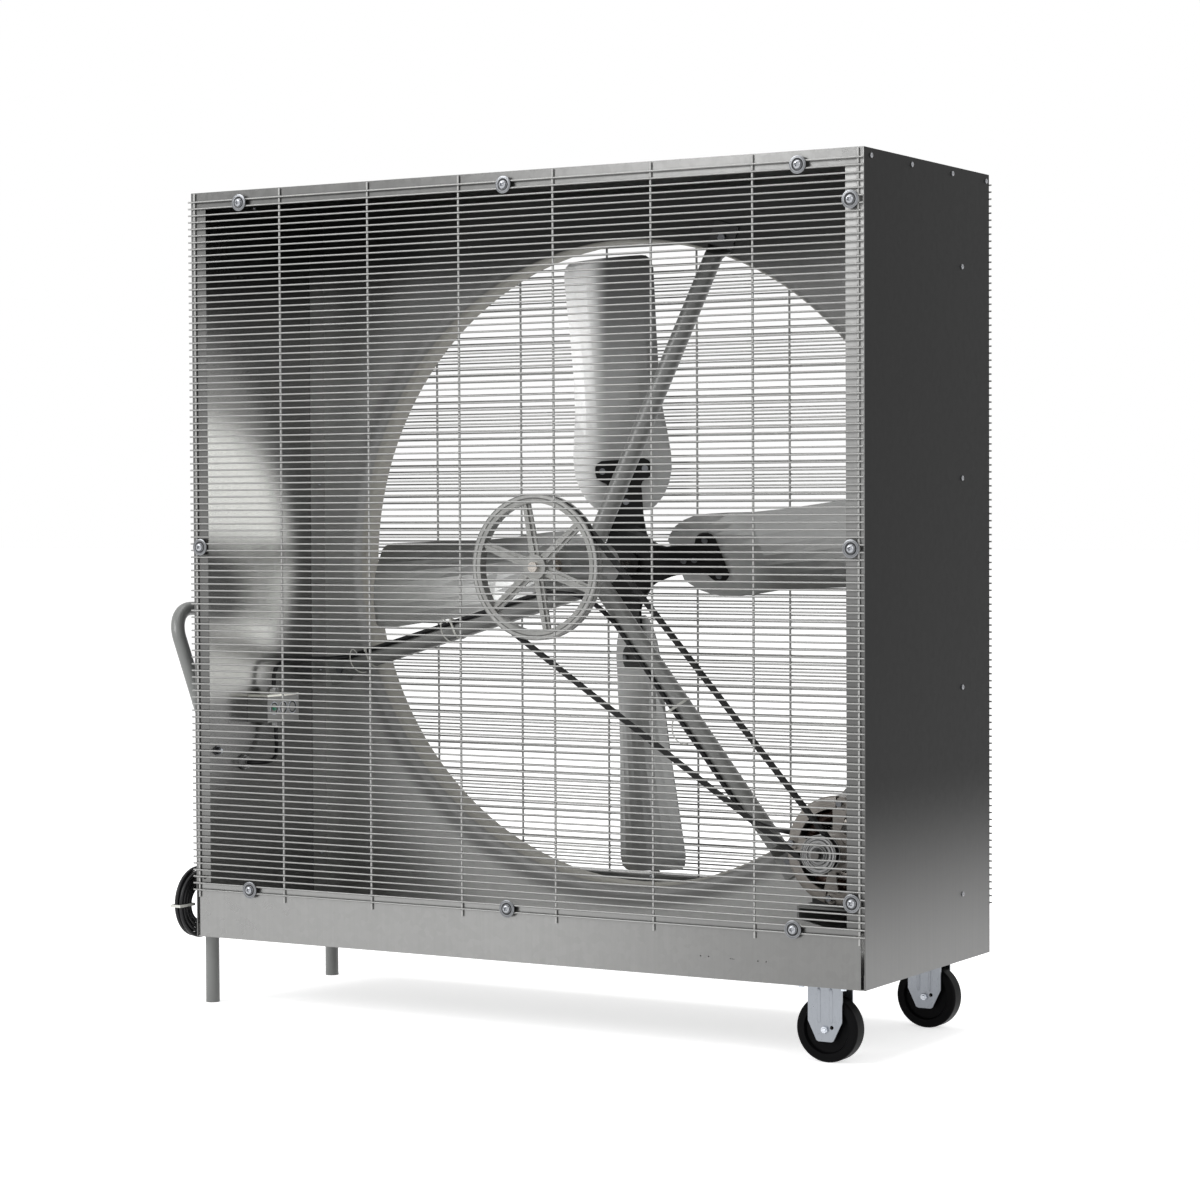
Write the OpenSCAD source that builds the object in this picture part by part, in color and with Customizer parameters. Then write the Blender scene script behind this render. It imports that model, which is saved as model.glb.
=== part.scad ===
// Portable belt-driven blower fan: a square sheet-steel cabinet on two legs and two wheels,
// with a wire guard on each side, a four-blade propeller in a bell-mouthed throat,
// a three-arm drive frame, a belt drive from a side motor, and a switch with its supply cord.
// Inside placed(), Y = 0 is the cabinet's front face, Z = 0 its underside and X = 0 its middle.

/* [Cabinet] */
// Cabinet width
cab_w = 1412; // [1250:1:1700]
// Cabinet height
cab_h = 1416; // [1300:1:1700]
// Cabinet depth, front face to rear face
cab_d = 526; // [500:1:700]
// Height of the cabinet's underside above the floor
leg_clear = 136; // [120:1:180]
// Thickness of all cabinet sheet
sheet = 1.6; // [1:0.1:3]
// Gap between sheets that are screwed together
sheet_gap = 0.3; // [0.1:0.05:0.6]
// Height of the top panel's front and rear lips
lip_h = 29; // [20:1:40]
// Width of the side panels' front and rear flanges
flange_w = 34; // [26:1:50]
// Height of the bottom panel's front and rear aprons
apron_h = 102; // [80:1:130]
// Width of the slot left open at each end of an apron
apron_slot = 6.5; // [3:0.5:12]
// Height of the turned tabs that join the top and bottom panels to the sides
tab_h = 25; // [18:1:35]

/* [Throat] */
// Throat diameter
throat_d = 1228; // [1150:1:1230]
// Radius of the bell-mouth roll
roll_r = 22; // [12:1:25]
// Depth of the orifice panel's front face behind the cabinet's front
panel_y = 424; // [400:1:440]
// Depth of the throat ring's rear edge behind the cabinet's front
ring_end_y = 485; // [470:1:500]
// Length of the orifice panel's side flanges
panel_flange = 46; // [35:1:60]

/* [Guards] */
// Pitch of the horizontal wires
wire_pitch = 12.7; // [10:0.1:20]
// Number of horizontal wires in each guard
wire_count = 104; // [80:1:104]
// Diameter of the horizontal wires
wire_d = 3.2; // [2:0.1:5]
// Number of vertical bars in each guard
bar_count = 8; // [6:2:8]
// Pitch of the vertical bars
bar_pitch = 199; // [150:1:205]
// Diameter of the vertical bars
bar_d = 4.2; // [3:0.1:6]
// Height of the lowest horizontal wire above the cabinet's underside
wire_low = 90; // [80:1:100]
// Diameter of the guard washers
washer_d = 31.75; // [25:0.25:36]
// Thickness of the guard washers
washer_t = 2.4; // [1.5:0.1:4]
// Diameter of the guard screws
screw_d = 6.35; // [5:0.05:8]

/* [Legs and handle] */
// Outside diameter of the leg tube
tube_d = 26.7; // [22:0.1:34]
// Wall of the leg tube
tube_wall = 2.8; // [1.5:0.1:4]
// Distance of the legs from the cabinet's front and rear faces
leg_inset = 65; // [45:1:100]
// Centreline radius of the tube's bends
tube_bend = 60; // [45:1:80]
// Angle at which the handle leans out
handle_tilt = 20.6097; // [10:0.0001:30]
// Height where the legs start to lean out
handle_low = 359; // [300:1:420]
// Height of the handle's crossbar
handle_top = 622; // [560:1:700]
// Diameter of the bolts that hold the legs
leg_bolt_d = 8; // [6:0.5:10]

/* [Casters] */
// Wheel diameter
wheel_d = 116; // [100:1:125]
// Wheel width
wheel_w = 33; // [25:1:36]
// Distance of the wheels from the cabinet's middle
caster_x = 612; // [560:1:640]
// Distance of the wheels from the cabinet's front and rear faces
caster_inset = 59; // [50:1:90]
// Width of the fork legs
fork_w = 65; // [50:1:75]
// Thickness of the caster sheet
fork_t = 3; // [2:0.1:4]
// Clearance between wheel and fork on each side
fork_gap = 2.5; // [1:0.1:5]
// Axle bolt diameter
axle_d = 12; // [8:0.5:14]

/* [Propeller] */
// Propeller diameter
prop_d = 1174; // [1100:1:1190]
// Depth of the propeller's mid-plane behind the cabinet's front
prop_y = 442; // [440:1:450]
// Turn of the propeller as it stands, anticlockwise from the front
prop_turn = 4.7; // [-45:0.1:45]
// Blade sheet thickness
blade_t = 2; // [1.2:0.1:4]
// Pitch angle where a blade is bolted on
pitch_root = 34; // [26:0.5:40]
// Pitch angle at the blade tip
pitch_tip = 15.5; // [12:0.5:17]
// Rise of the blade's curve
camber = 15; // [5:0.5:20]
// Thickness of the spider
spider_t = 5; // [4:0.1:8]
// Half width of a spider arm's neck
neck_half = 32; // [26:0.5:40]
// Diameter of the spider's hub
spider_hub_d = 50; // [40:1:60]
// Length of the spider's hub behind its arms
spider_hub_l = 32; // [20:1:45]
// Blade bolt diameter
blade_bolt_d = 8; // [6:0.5:10]

/* [Shaft and bearings] */
// Fan shaft diameter
shaft_d = 19.05; // [15:0.05:25]
// Fan shaft's front end behind the cabinet's front
shaft_y0 = 84; // [75:1:88]
// Bearing outside diameter
bearing_d = 47; // [40:0.5:52]
// Bearing width
bearing_w = 14; // [10:0.5:18]
// Running clearance on a radius
run_gap = 0.05; // [0.01:0.01:0.1]
// Clearance on a radius of parts fixed to a shaft or seated in a bore
fit_gap = 0.02; // [0:0.01:0.05]
// Housing outside diameter
housing_d = 84; // [70:1:100]
// Housing front end behind the cabinet's front
housing_y0 = 150; // [140:1:170]
// Housing rear end behind the cabinet's front
housing_y1 = 330; // [310:1:350]

/* [Drive frame] */
// Arm tube diameter
arm_d = 35; // [28:0.5:42]
// Depth of the arms' inner ends behind the cabinet's front
arm_in_y = 272; // [255:1:290]
// Thickness of the flattened arm ends
pad_t = 4; // [3:0.1:6]
// Length of the flattened arm ends
pad_l = 63; // [58:1:70]
// How far a flattened end runs past its bolt
pad_past = 28; // [24:1:31]
// Width of the flattened arm ends
pad_w = 52; // [45:1:60]
// Diameter of the bolts through the arm ends
arm_bolt_d = 9.5; // [8:0.5:12]

/* [Belt drive] */
// Drive pulley outside diameter
pulley_d = 267; // [240:1:300]
// Motor pulley outside diameter
motor_pulley_d = 68; // [55:1:90]
// Pulley width
pulley_w = 20; // [18:0.5:28]
// Depth of the belt's plane behind the cabinet's front
belt_y = 101; // [98:1:110]
// Belt width across its outside
belt_w = 12.7; // [11:0.1:14]
// Belt thickness
belt_t = 8; // [6:0.1:9]
// Gap between the belt and the groove walls
belt_gap = 0.3; // [0.2:0.05:0.6]
// Half angle of the belt's sides
belt_angle = 18; // [15:0.5:20]
// Depth of the pulley groove below the belt
groove_floor = 2.5; // [1:0.1:4]

/* [Motor] */
// Motor axis to the right of the fan shaft
motor_x = 573; // [540:1:590]
// Motor axis above the cabinet's underside
motor_z = 214; // [195:1:240]
// Motor shell diameter
motor_d = 190; // [165:1:200]
// Motor shell length
motor_l = 215; // [170:1:230]
// Depth of the motor's front face behind the cabinet's front
motor_y = 155; // [150:1:175]
// Motor end bell thickness
bell_t = 15; // [10:1:20]
// Radius of the motor's through bolts
motor_bolt_r = 84; // [70:0.5:88]
// Motor shaft diameter
motor_shaft_d = 15.9; // [12:0.1:19.05]
// Top of the motor's shelf below the motor axis
shelf_drop = 103; // [101:1:112]
// Thickness of the motor's shelf and foot
shelf_t = 4; // [3:0.1:6]

/* [Switch and cables] */
// Switch box length along the cabinet's depth
box_l = 102; // [90:1:115]
// Switch box height
box_h = 54; // [50:1:70]
// Switch box depth into the cabinet
box_d = 47; // [40:1:60]
// Depth of the switch box's middle behind the cabinet's front
box_y = 216; // [190:1:260]
// Height of the switch box's middle
box_z = 427; // [400:1:460]
// Switch box wall
box_wall = 1.6; // [1:0.1:2.5]
// Supply cord diameter
cord_d = 8; // [6:0.1:9]
// Motor cable diameter
cable_d = 9; // [7:0.1:10]
// Loops in the cord's coil
coil_turns = 7.75; // [3.75:1:7.75]
// Outermost centreline radius of the cord's coil
coil_r = 66; // [60:1:80]

/* [Hidden] */
$fn = 48;
slack = 0.05;
mid_z = cab_h / 2;
half_w = cab_w / 2;
web_in = half_w - sheet;
panel_screw_d = 4.2;
panel_head_d = 9;
panel_head_h = 2.8;
panel_screw_y = panel_y - panel_flange / 2 + 3;
tube_x = half_w + tube_d / 2 + slack;
lean_z = handle_low + tube_bend * sin(handle_tilt);
lean_x = tube_x + tube_bend * (1 - cos(handle_tilt));
lean_l = (handle_top - lean_z) / cos(handle_tilt);
handle_x = lean_x + lean_l * sin(handle_tilt);
origin_x = (handle_x + tube_d / 2 - half_w - slack - panel_head_h) / 2;
wire_half = half_w + 2;
wire_high = wire_low + (wire_count - 1) * wire_pitch;
guard_bar_y = bar_d / 2 + slack;
guard_wire_y = bar_d + wire_d / 2 + 2 * slack;
washer_y = bar_d + wire_d + 3 * slack;
head_d = 12;
head_h = 4.5;
nut_d = 12.8;
nut_h = 5.5;
hex_d = 11;
// Added to a fastener's diameter for the hole it goes through
hole_room = 0.6;
fork_in = wheel_w / 2 + fork_gap;
axle_z = wheel_d / 2 - leg_clear;
bush_wall = 5;
caster_plate_t = 3;
caster_plate_w = 100;
caster_plate_l = 84;
set_screw_d = 6;
set_screw_at = 8;
belt_out_big = pulley_d / 2 - 1;
belt_out_small = motor_pulley_d / 2 - 1;
motor_dx = motor_x;
motor_dz = motor_z - mid_z;
drive_c = norm([motor_dx, motor_dz]);
drive_a = atan2(motor_dz, motor_dx);
wrap_a = asin((belt_out_big - belt_out_small) / drive_c);
shelf_top = motor_z - shelf_drop;
shelf_half = 84;
bracket_drop = 78;
foot_half = 70;
foot_bolt_x = [-60, 60];
// Depths of the foot bolts behind the foot's front edge
foot_bolt_y = [55, 150];
bell_boss_d = 52;
rotor_d = 90;
bolt_lug_d = 24;
// First bolt's turn from level round the motor
bolt_turn = 7;
box_face_x = web_in - box_d;
coil_pitch = cord_d + 0.8;
coil_layer = cord_d + 0.8;
tie_gap = 0.3;
toggle_x = -web_in + 12;
toggle_pin_d = 5;
// Half the slot that the toggle moves in
toggle_slot_y = 12;
toggle_slot_z = 5;
relief_d = 22;
// The toggle leans this far from square to the panel when the switch is off
toggle_rest = 20;

// Far ends of the three arms on the orifice panel: X and Z of each pad's middle,
// and X and Z of the point beside the shaft that the arm's line passes
top_pad = [214, 1318];
top_root = [2, 709];
left_pad = [-664, 492];
left_root = [8, 667];
low_pad = [350, 158];
low_root = [1, 714];
// Small unused holes in the front apron
apron_holes = [[391, 38], [407, 38], [503, 36.5], [519, 36.5]];

// Supply cord from the strain relief down to the coil: hand-chosen points, in the cabinet's frame
cord_out = [-724, 146, 323];
cord_route = [[-711, 146, 323], [-724, 146, 323], [-733, 146, 322], [-741, 145, 315], [-745, 142, 302],
  [-747, 137, 280], [-746, 131, 240], [-744, 127, 190], [-743, 126, 140], [-743, 126, 96], [-743, 126, 64]];
coil_mid = [-743, 60, 56];
// Tail from the coil to the plug
tail_route = [[-751.8, 68, 122], [-752, 90, 122], [-753, 108, 121.5], [-755, 126, 116],
  [-756, 139, 105], [-757, 146, 90], [-757, 147, 76]];
plug_top = [-757, 147, 76];
// Supply cord inside the cabinet, from the switch box to the strain relief
inner_route = [[-680, 222, 392], [-680, 222, 380], [-678, 220, 364], [-673, 214, 348], [-667, 204, 335],
  [-663, 190, 327], [-664, 174, 323.5], [-669, 160, 323], [-678, 150, 323], [-688, 146, 323], [-700, 146, 323]];
// Motor cable: up from the box, along the left arm, past the housing, down the lower arm, to the motor
cable_route = [[-680, 216, 460], [-680, 216, 478], [-680, 219, 496], [-678, 230, 510], [-675, 252, 516],
  [-672, 285, 518], [-668, 320, 518], [-660, 352, 517], [-646, 372, 517], [-628, 382, 519], [-607, 385, 523],
  [-567, 376, 534], [-447, 351, 565], [-327, 326, 596], [-207, 300, 627], [-117, 281, 651],
  [-80, 268, 656], [-45, 254, 657], [-10, 246, 654], [20, 246, 645], [42, 256, 628], [52, 270, 612],
  [60, 280, 599], [93, 293, 547], [159, 320, 441], [225, 347, 336], [262, 362, 277], [280, 369, 250],
  [296, 370, 237], [316, 364, 231], [345, 346, 229], [375, 320, 228], [400, 298, 228], [420, 284, 228],
  [434, 279, 228], [449, 278, 228]];

module placed() {
  translate([origin_x, -cab_d / 2, leg_clear]) children();
}

// A cylinder along Y from y0 to y1
module along_y(x, z, y0, y1, d) {
  translate([x, y0, z]) rotate([-90, 0, 0]) cylinder(d = d, h = y1 - y0);
}

// A cylinder along X from x0 to x1
module along_x(y, z, x0, x1, d) {
  translate([x0, y, z]) rotate([0, 90, 0]) cylinder(d = d, h = x1 - x0);
}

// A box from one corner to the opposite one
module block(low, high) {
  translate(low) cube(high - low);
}

// Sweeping a round tube along points: directions, a sideways vector carried along, rings and faces
function unit(v) = v / norm(v);
function headings(p) = [for (i = [0:len(p) - 1])
  unit(p[min(i + 1, len(p) - 1)] - p[max(i - 1, 0)])];
function across(u, d) = unit(u - (u * d) * d);
function carried(d, u, i = 0, out = []) =
  i == len(d) ? out : let (w = across(u, d[i])) carried(d, w, i + 1, concat(out, [w]));
function curve_point(a, b, c, d, t) =
  0.5 * (2 * b + (c - a) * t + (2 * a - 5 * b + 4 * c - d) * t * t + (3 * b - a - 3 * c + d) * t * t * t);
function smooth(p, n) = concat(
  [for (i = [0:len(p) - 2]) for (k = [0:n - 1])
    curve_point(p[max(i - 1, 0)], p[i], p[i + 1], p[min(i + 2, len(p) - 1)], k / n)],
  [p[len(p) - 1]]);

module tube_along(p, d, sides, start = [1, 0, 0]) {
  way = headings(p);
  side = carried(way, start);
  n = len(p);
  rings = [for (i = [0:n - 1]) for (k = [0:sides - 1])
    p[i] + d / 2 * (cos(360 * k / sides) * side[i] + sin(360 * k / sides) * cross(way[i], side[i]))];
  walls = [for (i = [0:n - 2]) for (k = [0:sides - 1]) for (half = [0, 1])
    let (a = i * sides + k, b = i * sides + (k + 1) % sides)
    half == 0 ? [a, a + sides, b] : [b, a + sides, b + sides]];
  first = [for (k = [1:sides - 2]) [0, k, k + 1]];
  last = [for (k = [1:sides - 2]) [(n - 1) * sides, (n - 1) * sides + k + 1, (n - 1) * sides + k]];
  polyhedron(points = rings, faces = concat(walls, first, last));
}

// Places that holes and fasteners share
function top_screws() = [for (x = [-587, 0, 587]) [x * cab_w / 1412, wire_high - wire_pitch / 2]];
function low_screws() = [for (x = [-574, 0, 574]) [x * cab_w / 1412, wire_low + wire_pitch / 2]];
function wire_gap_z(z) = wire_low + (round((z - wire_low) / wire_pitch - 0.5) + 0.5) * wire_pitch;
function side_screws() = concat(
  [for (z = [cab_h * 0.105, cab_h * 0.525, cab_h * 0.937]) [half_w - flange_w / 2 - 4, wire_gap_z(z)]],
  [[-(half_w - flange_w / 2 - 4), wire_gap_z(cab_h * 0.525)]]);
function guard_places() = concat(top_screws(), low_screws(), side_screws());
function tab_screw_y() = [for (f = [0.055, 0.365, 0.69, 0.973]) f * cab_d];
function panel_screw_z() = [for (f = [0.0845, 0.347, 0.611, 0.877]) f * cab_h];
function leg_y() = [leg_inset, cab_d - leg_inset];
function leg_bolt_z() = [40, handle_low - 8];
function caster_y() = [caster_inset, cab_d - caster_inset];

module guard_screw_holes(d) {
  for (p = guard_places()) along_y(p[0], p[1], -1, cab_d + 1, d);
}

module panel_screw_holes(s) {
  hole = panel_screw_d + 0.2;
  from = s * half_w - 6;
  for (z = panel_screw_z()) along_x(panel_screw_y, z, from, from + 12, hole);
  for (y = tab_screw_y()) along_x(y, cab_h - tab_h / 2, from, from + 12, hole);
}

module side_panel(s) {
  x0 = min(s * half_w, s * web_in);
  f0 = min(s * half_w, s * (half_w - flange_w));
  seam = 1.5;
  past = half_w + 1;
  within = 1 - web_in;
  difference() {
    union() {
      block([x0, 0, 0], [x0 + sheet, cab_d, cab_h]);
      for (y = [0, cab_d - sheet])
        block([f0, y, apron_h + seam], [f0 + flange_w, y + sheet, cab_h - lip_h - seam]);
    }
    guard_screw_holes(screw_d + hole_room);
    panel_screw_holes(s);
    if (s < 0) {
      for (y = leg_y()) for (z = leg_bolt_z()) along_x(y, z, -past, within, leg_bolt_d + hole_room);
      along_x(cord_out[1], cord_out[2], -past, within, relief_d + 0.4);
      block([-past, box_y - toggle_slot_y - 1, box_z - toggle_slot_z - 1],
        [within, box_y + toggle_slot_y + 1, box_z + toggle_slot_z + 1]);
      along_y(20 - half_w, apron_h + 12, -1, sheet + 1, 8);
    }
  }
}

module side_panel_left() {
  color([0.62, 0.63, 0.62]) placed() side_panel(-1);
}

module side_panel_right() {
  color([0.62, 0.63, 0.62]) placed() side_panel(1);
}

module top_panel() {
  x = web_in - sheet_gap;
  color([0.62, 0.63, 0.62]) placed() difference() {
    union() {
      block([-x, 0, cab_h - sheet], [x, cab_d, cab_h]);
      for (y = [0, cab_d - sheet]) block([-x, y, cab_h - lip_h], [x, y + sheet, cab_h]);
      for (s = [-1, 1])
        block([min(s * x, s * (x - sheet)), sheet + 1, cab_h - tab_h],
          [max(s * x, s * (x - sheet)), cab_d - sheet - 1, cab_h]);
    }
    guard_screw_holes(screw_d + hole_room);
    for (s = [-1, 1]) panel_screw_holes(s);
  }
}

module bottom_panel() {
  x = web_in - sheet_gap;
  ax = half_w - sheet - apron_slot;
  color([0.62, 0.63, 0.62]) placed() difference() {
    union() {
      block([-x, sheet, 0], [x, cab_d - sheet, sheet]);
      for (y = [0, cab_d - sheet]) block([-ax, y, 0], [ax, y + sheet, apron_h]);
      for (s = [-1, 1])
        block([min(s * x, s * (x - sheet)), sheet + 1, 0],
          [max(s * x, s * (x - sheet)), cab_d - sheet - 1, tab_h]);
    }
    guard_screw_holes(screw_d + hole_room);
    for (p = apron_holes) along_y(p[0], p[1], -1, sheet + 1, 3);
    block([449, -1, 36], [457, sheet + 1, 37.5]);
    for (y = caster_y()) for (p = caster_bolt_places())
      translate([p[0], y + p[1], -1]) cylinder(d = screw_d + hole_room, h = sheet + 2);
  }
}

module orifice_panel() {
  x = web_in - sheet_gap;
  tab_x = x - sheet - sheet_gap;
  low = sheet + sheet_gap;
  high = cab_h - sheet - sheet_gap;
  flange_low = tab_h + 3;
  flange_high = cab_h - tab_h - 3;
  throat_r = throat_d / 2;
  color([0.55, 0.56, 0.55]) placed() difference() {
    union() {
      difference() {
        union() {
          block([-tab_x, panel_y, low], [tab_x, panel_y + sheet, high]);
          block([-x, panel_y, flange_low], [x, panel_y + sheet, flange_high]);
        }
        along_y(0, mid_z, panel_y - 1, panel_y + sheet + 1, throat_d + 2 * roll_r);
      }
      for (s = [-1, 1])
        block([min(s * x, s * (x - sheet)), panel_y - panel_flange, flange_low],
          [max(s * x, s * (x - sheet)), panel_y + sheet, flange_high]);
      translate([0, panel_y, mid_z]) rotate([-90, 0, 0]) rotate_extrude($fn = 180) {
        translate([throat_r, roll_r]) square([sheet, ring_end_y - panel_y - roll_r]);
        translate([throat_r + roll_r, roll_r]) intersection() {
          difference() {
            circle(r = roll_r);
            circle(r = roll_r - sheet);
          }
          translate([-roll_r, -roll_r]) square(roll_r);
        }
      }
    }
    for (s = [-1, 1]) panel_screw_holes(s);
    for (p = pad_bolts()) along_y(p[0], p[1], panel_y - 1, panel_y + sheet + 1, arm_bolt_d + hole_room);
    for (p = bracket_bolts()) along_y(p[0], p[1], panel_y - 1, panel_y + sheet + 1, screw_d + hole_room);
  }
}

// One guard: horizontal wires in front of vertical bars, bars against the cabinet
module guard() {
  for (i = [0:wire_count - 1])
    along_x(-guard_wire_y, wire_low + i * wire_pitch, -wire_half, wire_half, wire_d);
  for (j = [0:bar_count - 1])
    translate([(j - (bar_count - 1) / 2) * bar_pitch, -guard_bar_y, wire_low - 14])
      cylinder(d = bar_d, h = wire_high - wire_low + 30);
}

module front_guard() {
  color([0.72, 0.72, 0.7]) placed() guard();
}

module rear_guard() {
  color([0.72, 0.72, 0.7]) placed() translate([0, cab_d, 0]) mirror([0, 1, 0]) guard();
}

// What is repeated on the rear guard is the front one's mirror image
module both_guards() {
  children();
  translate([0, cab_d, 0]) mirror([0, 1, 0]) children();
}

module guard_washers() {
  color([0.35, 0.35, 0.36]) placed() both_guards() for (p = guard_places()) difference() {
    along_y(p[0], p[1], -washer_y - washer_t, -washer_y, washer_d);
    along_y(p[0], p[1], -washer_y - washer_t - 1, -washer_y + 1, screw_d + hole_room);
  }
}

module guard_screws() {
  under = washer_y + washer_t + slack;
  recess = 1.6;
  color([0.75, 0.75, 0.76]) placed() both_guards() for (p = guard_places()) {
    translate([p[0], -under, p[1]]) rotate([90, 0, 0]) rotate_extrude() difference() {
      intersection() {
        translate([0, head_h - head_d]) circle(r = head_d);
        square([head_d / 2, head_h]);
      }
      translate([0, head_h - recess]) square([recess, 2 * recess]);
    }
    along_y(p[0], p[1], -under, sheet + nut_h + 4, screw_d);
  }
}

module guard_nuts() {
  color([0.7, 0.7, 0.7]) placed() both_guards() for (p = guard_places())
    translate([p[0], sheet + slack, p[1]]) rotate([-90, 0, 0]) difference() {
      cylinder(d = nut_d, h = nut_h, $fn = 6);
      translate([0, 0, -1]) cylinder(d = screw_d + 2 * fit_gap, h = nut_h + 2);
    }
}

module panel_screw(s, y, z) {
  x = half_w + slack;
  translate([s * x, y, z]) rotate([0, s * 90, 0]) rotate_extrude() union() {
    square([panel_screw_d / 2 - 0.1, 0.1]);
    intersection() {
      translate([0, panel_head_h - panel_head_d]) circle(d = panel_head_d * 2);
      square([panel_head_d / 2, panel_head_h]);
    }
  }
  along_x(y, z, min(s * x, s * (x - 9)), max(s * x, s * (x - 9)), panel_screw_d);
}

module panel_screws() {
  color([0.8, 0.8, 0.8]) placed() for (s = [-1, 1]) {
    for (z = panel_screw_z()) panel_screw(s, panel_screw_y, z);
    for (y = tab_screw_y()) panel_screw(s, y, cab_h - tab_h / 2);
  }
}

// One leg with its half of the handle: hollow pieces laid end to end
module tube_ring() {
  rotate(180) difference() {
    circle(d = tube_d);
    circle(d = tube_d - 2 * tube_wall);
  }
}

module half_leg_tube() {
  translate([-tube_x, leg_inset, -leg_clear]) linear_extrude(handle_low + leg_clear) tube_ring();
  translate([-tube_x - tube_bend, leg_inset, handle_low]) rotate([90, 0, 0])
    rotate_extrude(angle = handle_tilt) translate([tube_bend, 0]) tube_ring();
  translate([-lean_x, 0, lean_z]) rotate([0, -handle_tilt, 0]) {
    translate([0, leg_inset, 0]) linear_extrude(lean_l - tube_bend) tube_ring();
    translate([0, leg_inset + tube_bend, lean_l - tube_bend]) rotate([90, 0, -90])
      rotate_extrude(angle = 90) translate([tube_bend, 0]) tube_ring();
  }
}

module leg_handle_tube() {
  color([0.5, 0.51, 0.5]) placed() difference() {
    union() {
      for (side = [0, 1]) translate([0, side * cab_d, 0]) mirror([0, side, 0]) half_leg_tube();
      translate([-lean_x, 0, lean_z]) rotate([0, -handle_tilt, 0])
        translate([0, leg_inset + tube_bend, lean_l]) rotate([-90, 0, 0])
          linear_extrude(cab_d - 2 * leg_inset - 2 * tube_bend) tube_ring();
    }
    for (y = leg_y()) for (z = leg_bolt_z())
      along_x(y, z, -tube_x - tube_d, -half_w + 1, leg_bolt_d + hole_room);
  }
}

module leg_bolts() {
  head_x = -tube_x - tube_d / 2 - slack;
  color([0.75, 0.75, 0.75]) placed() for (y = leg_y()) for (z = leg_bolt_z()) {
    along_x(y, z, head_x, 11 - web_in, leg_bolt_d);
    along_x(y, z, head_x - 5, head_x, leg_bolt_d * 1.7);
  }
}

module leg_nuts() {
  color([0.6, 0.6, 0.6]) placed() for (y = leg_y()) for (z = leg_bolt_z())
    translate([-web_in + slack, y, z]) rotate([0, 90, 0]) difference() {
      union() {
        cylinder(d = leg_bolt_d * 2.4, h = 1.5);
        cylinder(d = leg_bolt_d * 1.75, h = 8, $fn = 6);
      }
      translate([0, 0, -1]) cylinder(d = leg_bolt_d + 2 * fit_gap, h = 10);
    }
}

// Casters
function caster_bolt_places() = [for (x = [-1, 1]) for (y = [-1, 1])
  [caster_x + x * (caster_plate_w / 2 - 10), y * (caster_plate_l / 2 - 11)]];

module fork_leg_outline() {
  top = -caster_plate_t;
  wide = fork_w / 2;
  low = axle_z - 21;
  polygon([[-wide, top], [-wide, axle_z + 14], [-wide / 2, low + 2], [4 - wide / 2, low],
    [wide / 2 - 4, low], [wide / 2, low + 2], [wide, axle_z + 14], [wide, top]]);
}

module caster_fork(y) {
  past = fork_in + fork_t + 1;
  plate = [caster_plate_w / 2, caster_plate_l / 2];
  translate([caster_x, y, 0]) difference() {
    union() {
      block([-plate[0], -plate[1], -caster_plate_t - slack], [plate[0], plate[1], -slack]);
      for (s = [-1, 1]) translate([0, s > 0 ? fork_in + fork_t : -fork_in, 0])
        rotate([90, 0, 0]) linear_extrude(fork_t) fork_leg_outline();
    }
    along_y(0, axle_z, -past, past, axle_d + 2 * fit_gap);
    along_y(13, axle_z + 4, -past, past, 7);
    for (p = caster_bolt_places()) translate([p[0] - caster_x, p[1], -caster_plate_t - 1])
      cylinder(d = screw_d + hole_room, h = caster_plate_t + 2);
  }
}

module caster_fork_front() {
  color([0.75, 0.78, 0.8]) placed() caster_fork(caster_y()[0]);
}

module caster_fork_rear() {
  color([0.75, 0.78, 0.8]) placed() caster_fork(caster_y()[1]);
}

module caster_bolts() {
  under = -caster_plate_t - 2 * slack;
  color([0.75, 0.75, 0.75]) placed() for (y = caster_y()) for (p = caster_bolt_places())
    translate([p[0], y + p[1], 0]) {
      translate([0, 0, under - 4]) cylinder(d = hex_d, h = 4, $fn = 6);
      translate([0, 0, under]) cylinder(d = screw_d, h = caster_plate_t + sheet + 9);
      translate([0, 0, sheet + slack]) cylinder(d = hex_d, h = 5, $fn = 6);
    }
}

module caster_axles() {
  reach = fork_in + fork_t + slack;
  head = 3;
  color([0.7, 0.72, 0.72]) placed() for (y = caster_y()) {
    along_y(caster_x, axle_z, y - reach, y + reach, axle_d);
    along_y(caster_x, axle_z, y - reach - head, y - reach, axle_d * 1.4);
    along_y(caster_x, axle_z, y + reach, y + reach + head, axle_d * 1.4);
  }
}

module wheel(y) {
  r = wheel_d / 2;
  w = wheel_w / 2;
  shoulder = 5;
  hub_bore = axle_d / 2 + bush_wall;
  dish = [r * 0.35, r * 0.7];
  dish_deep = 6;
  translate([caster_x, y, axle_z]) rotate([-90, 0, 0]) rotate_extrude($fn = 96) difference() {
    union() {
      translate([hub_bore, -w]) square([r - shoulder - hub_bore, 2 * w]);
      translate([hub_bore, shoulder - w]) square([r - hub_bore, 2 * w - 2 * shoulder]);
      for (s = [-1, 1]) translate([r - shoulder, s * (w - shoulder)]) circle(r = shoulder);
    }
    for (s = [-1, 1]) translate([0, s * w])
      polygon([[dish[0] - 1, s], [dish[0], -s * dish_deep], [dish[1], -s * dish_deep], [dish[1] + 3, s]]);
  }
}

module wheel_front() {
  color([0.08, 0.08, 0.08]) placed() wheel(caster_y()[0]);
}

module wheel_rear() {
  color([0.08, 0.08, 0.08]) placed() wheel(caster_y()[1]);
}

module wheel_bush(y) {
  difference() {
    along_y(caster_x, axle_z, y - wheel_w / 2 - 1, y + wheel_w / 2 + 1,
      axle_d + 2 * bush_wall - 2 * fit_gap);
    along_y(caster_x, axle_z, y - wheel_w, y + wheel_w, axle_d + 2 * run_gap);
  }
}

module wheel_bush_front() {
  color([0.6, 0.6, 0.6]) placed() wheel_bush(caster_y()[0]);
}

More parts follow.
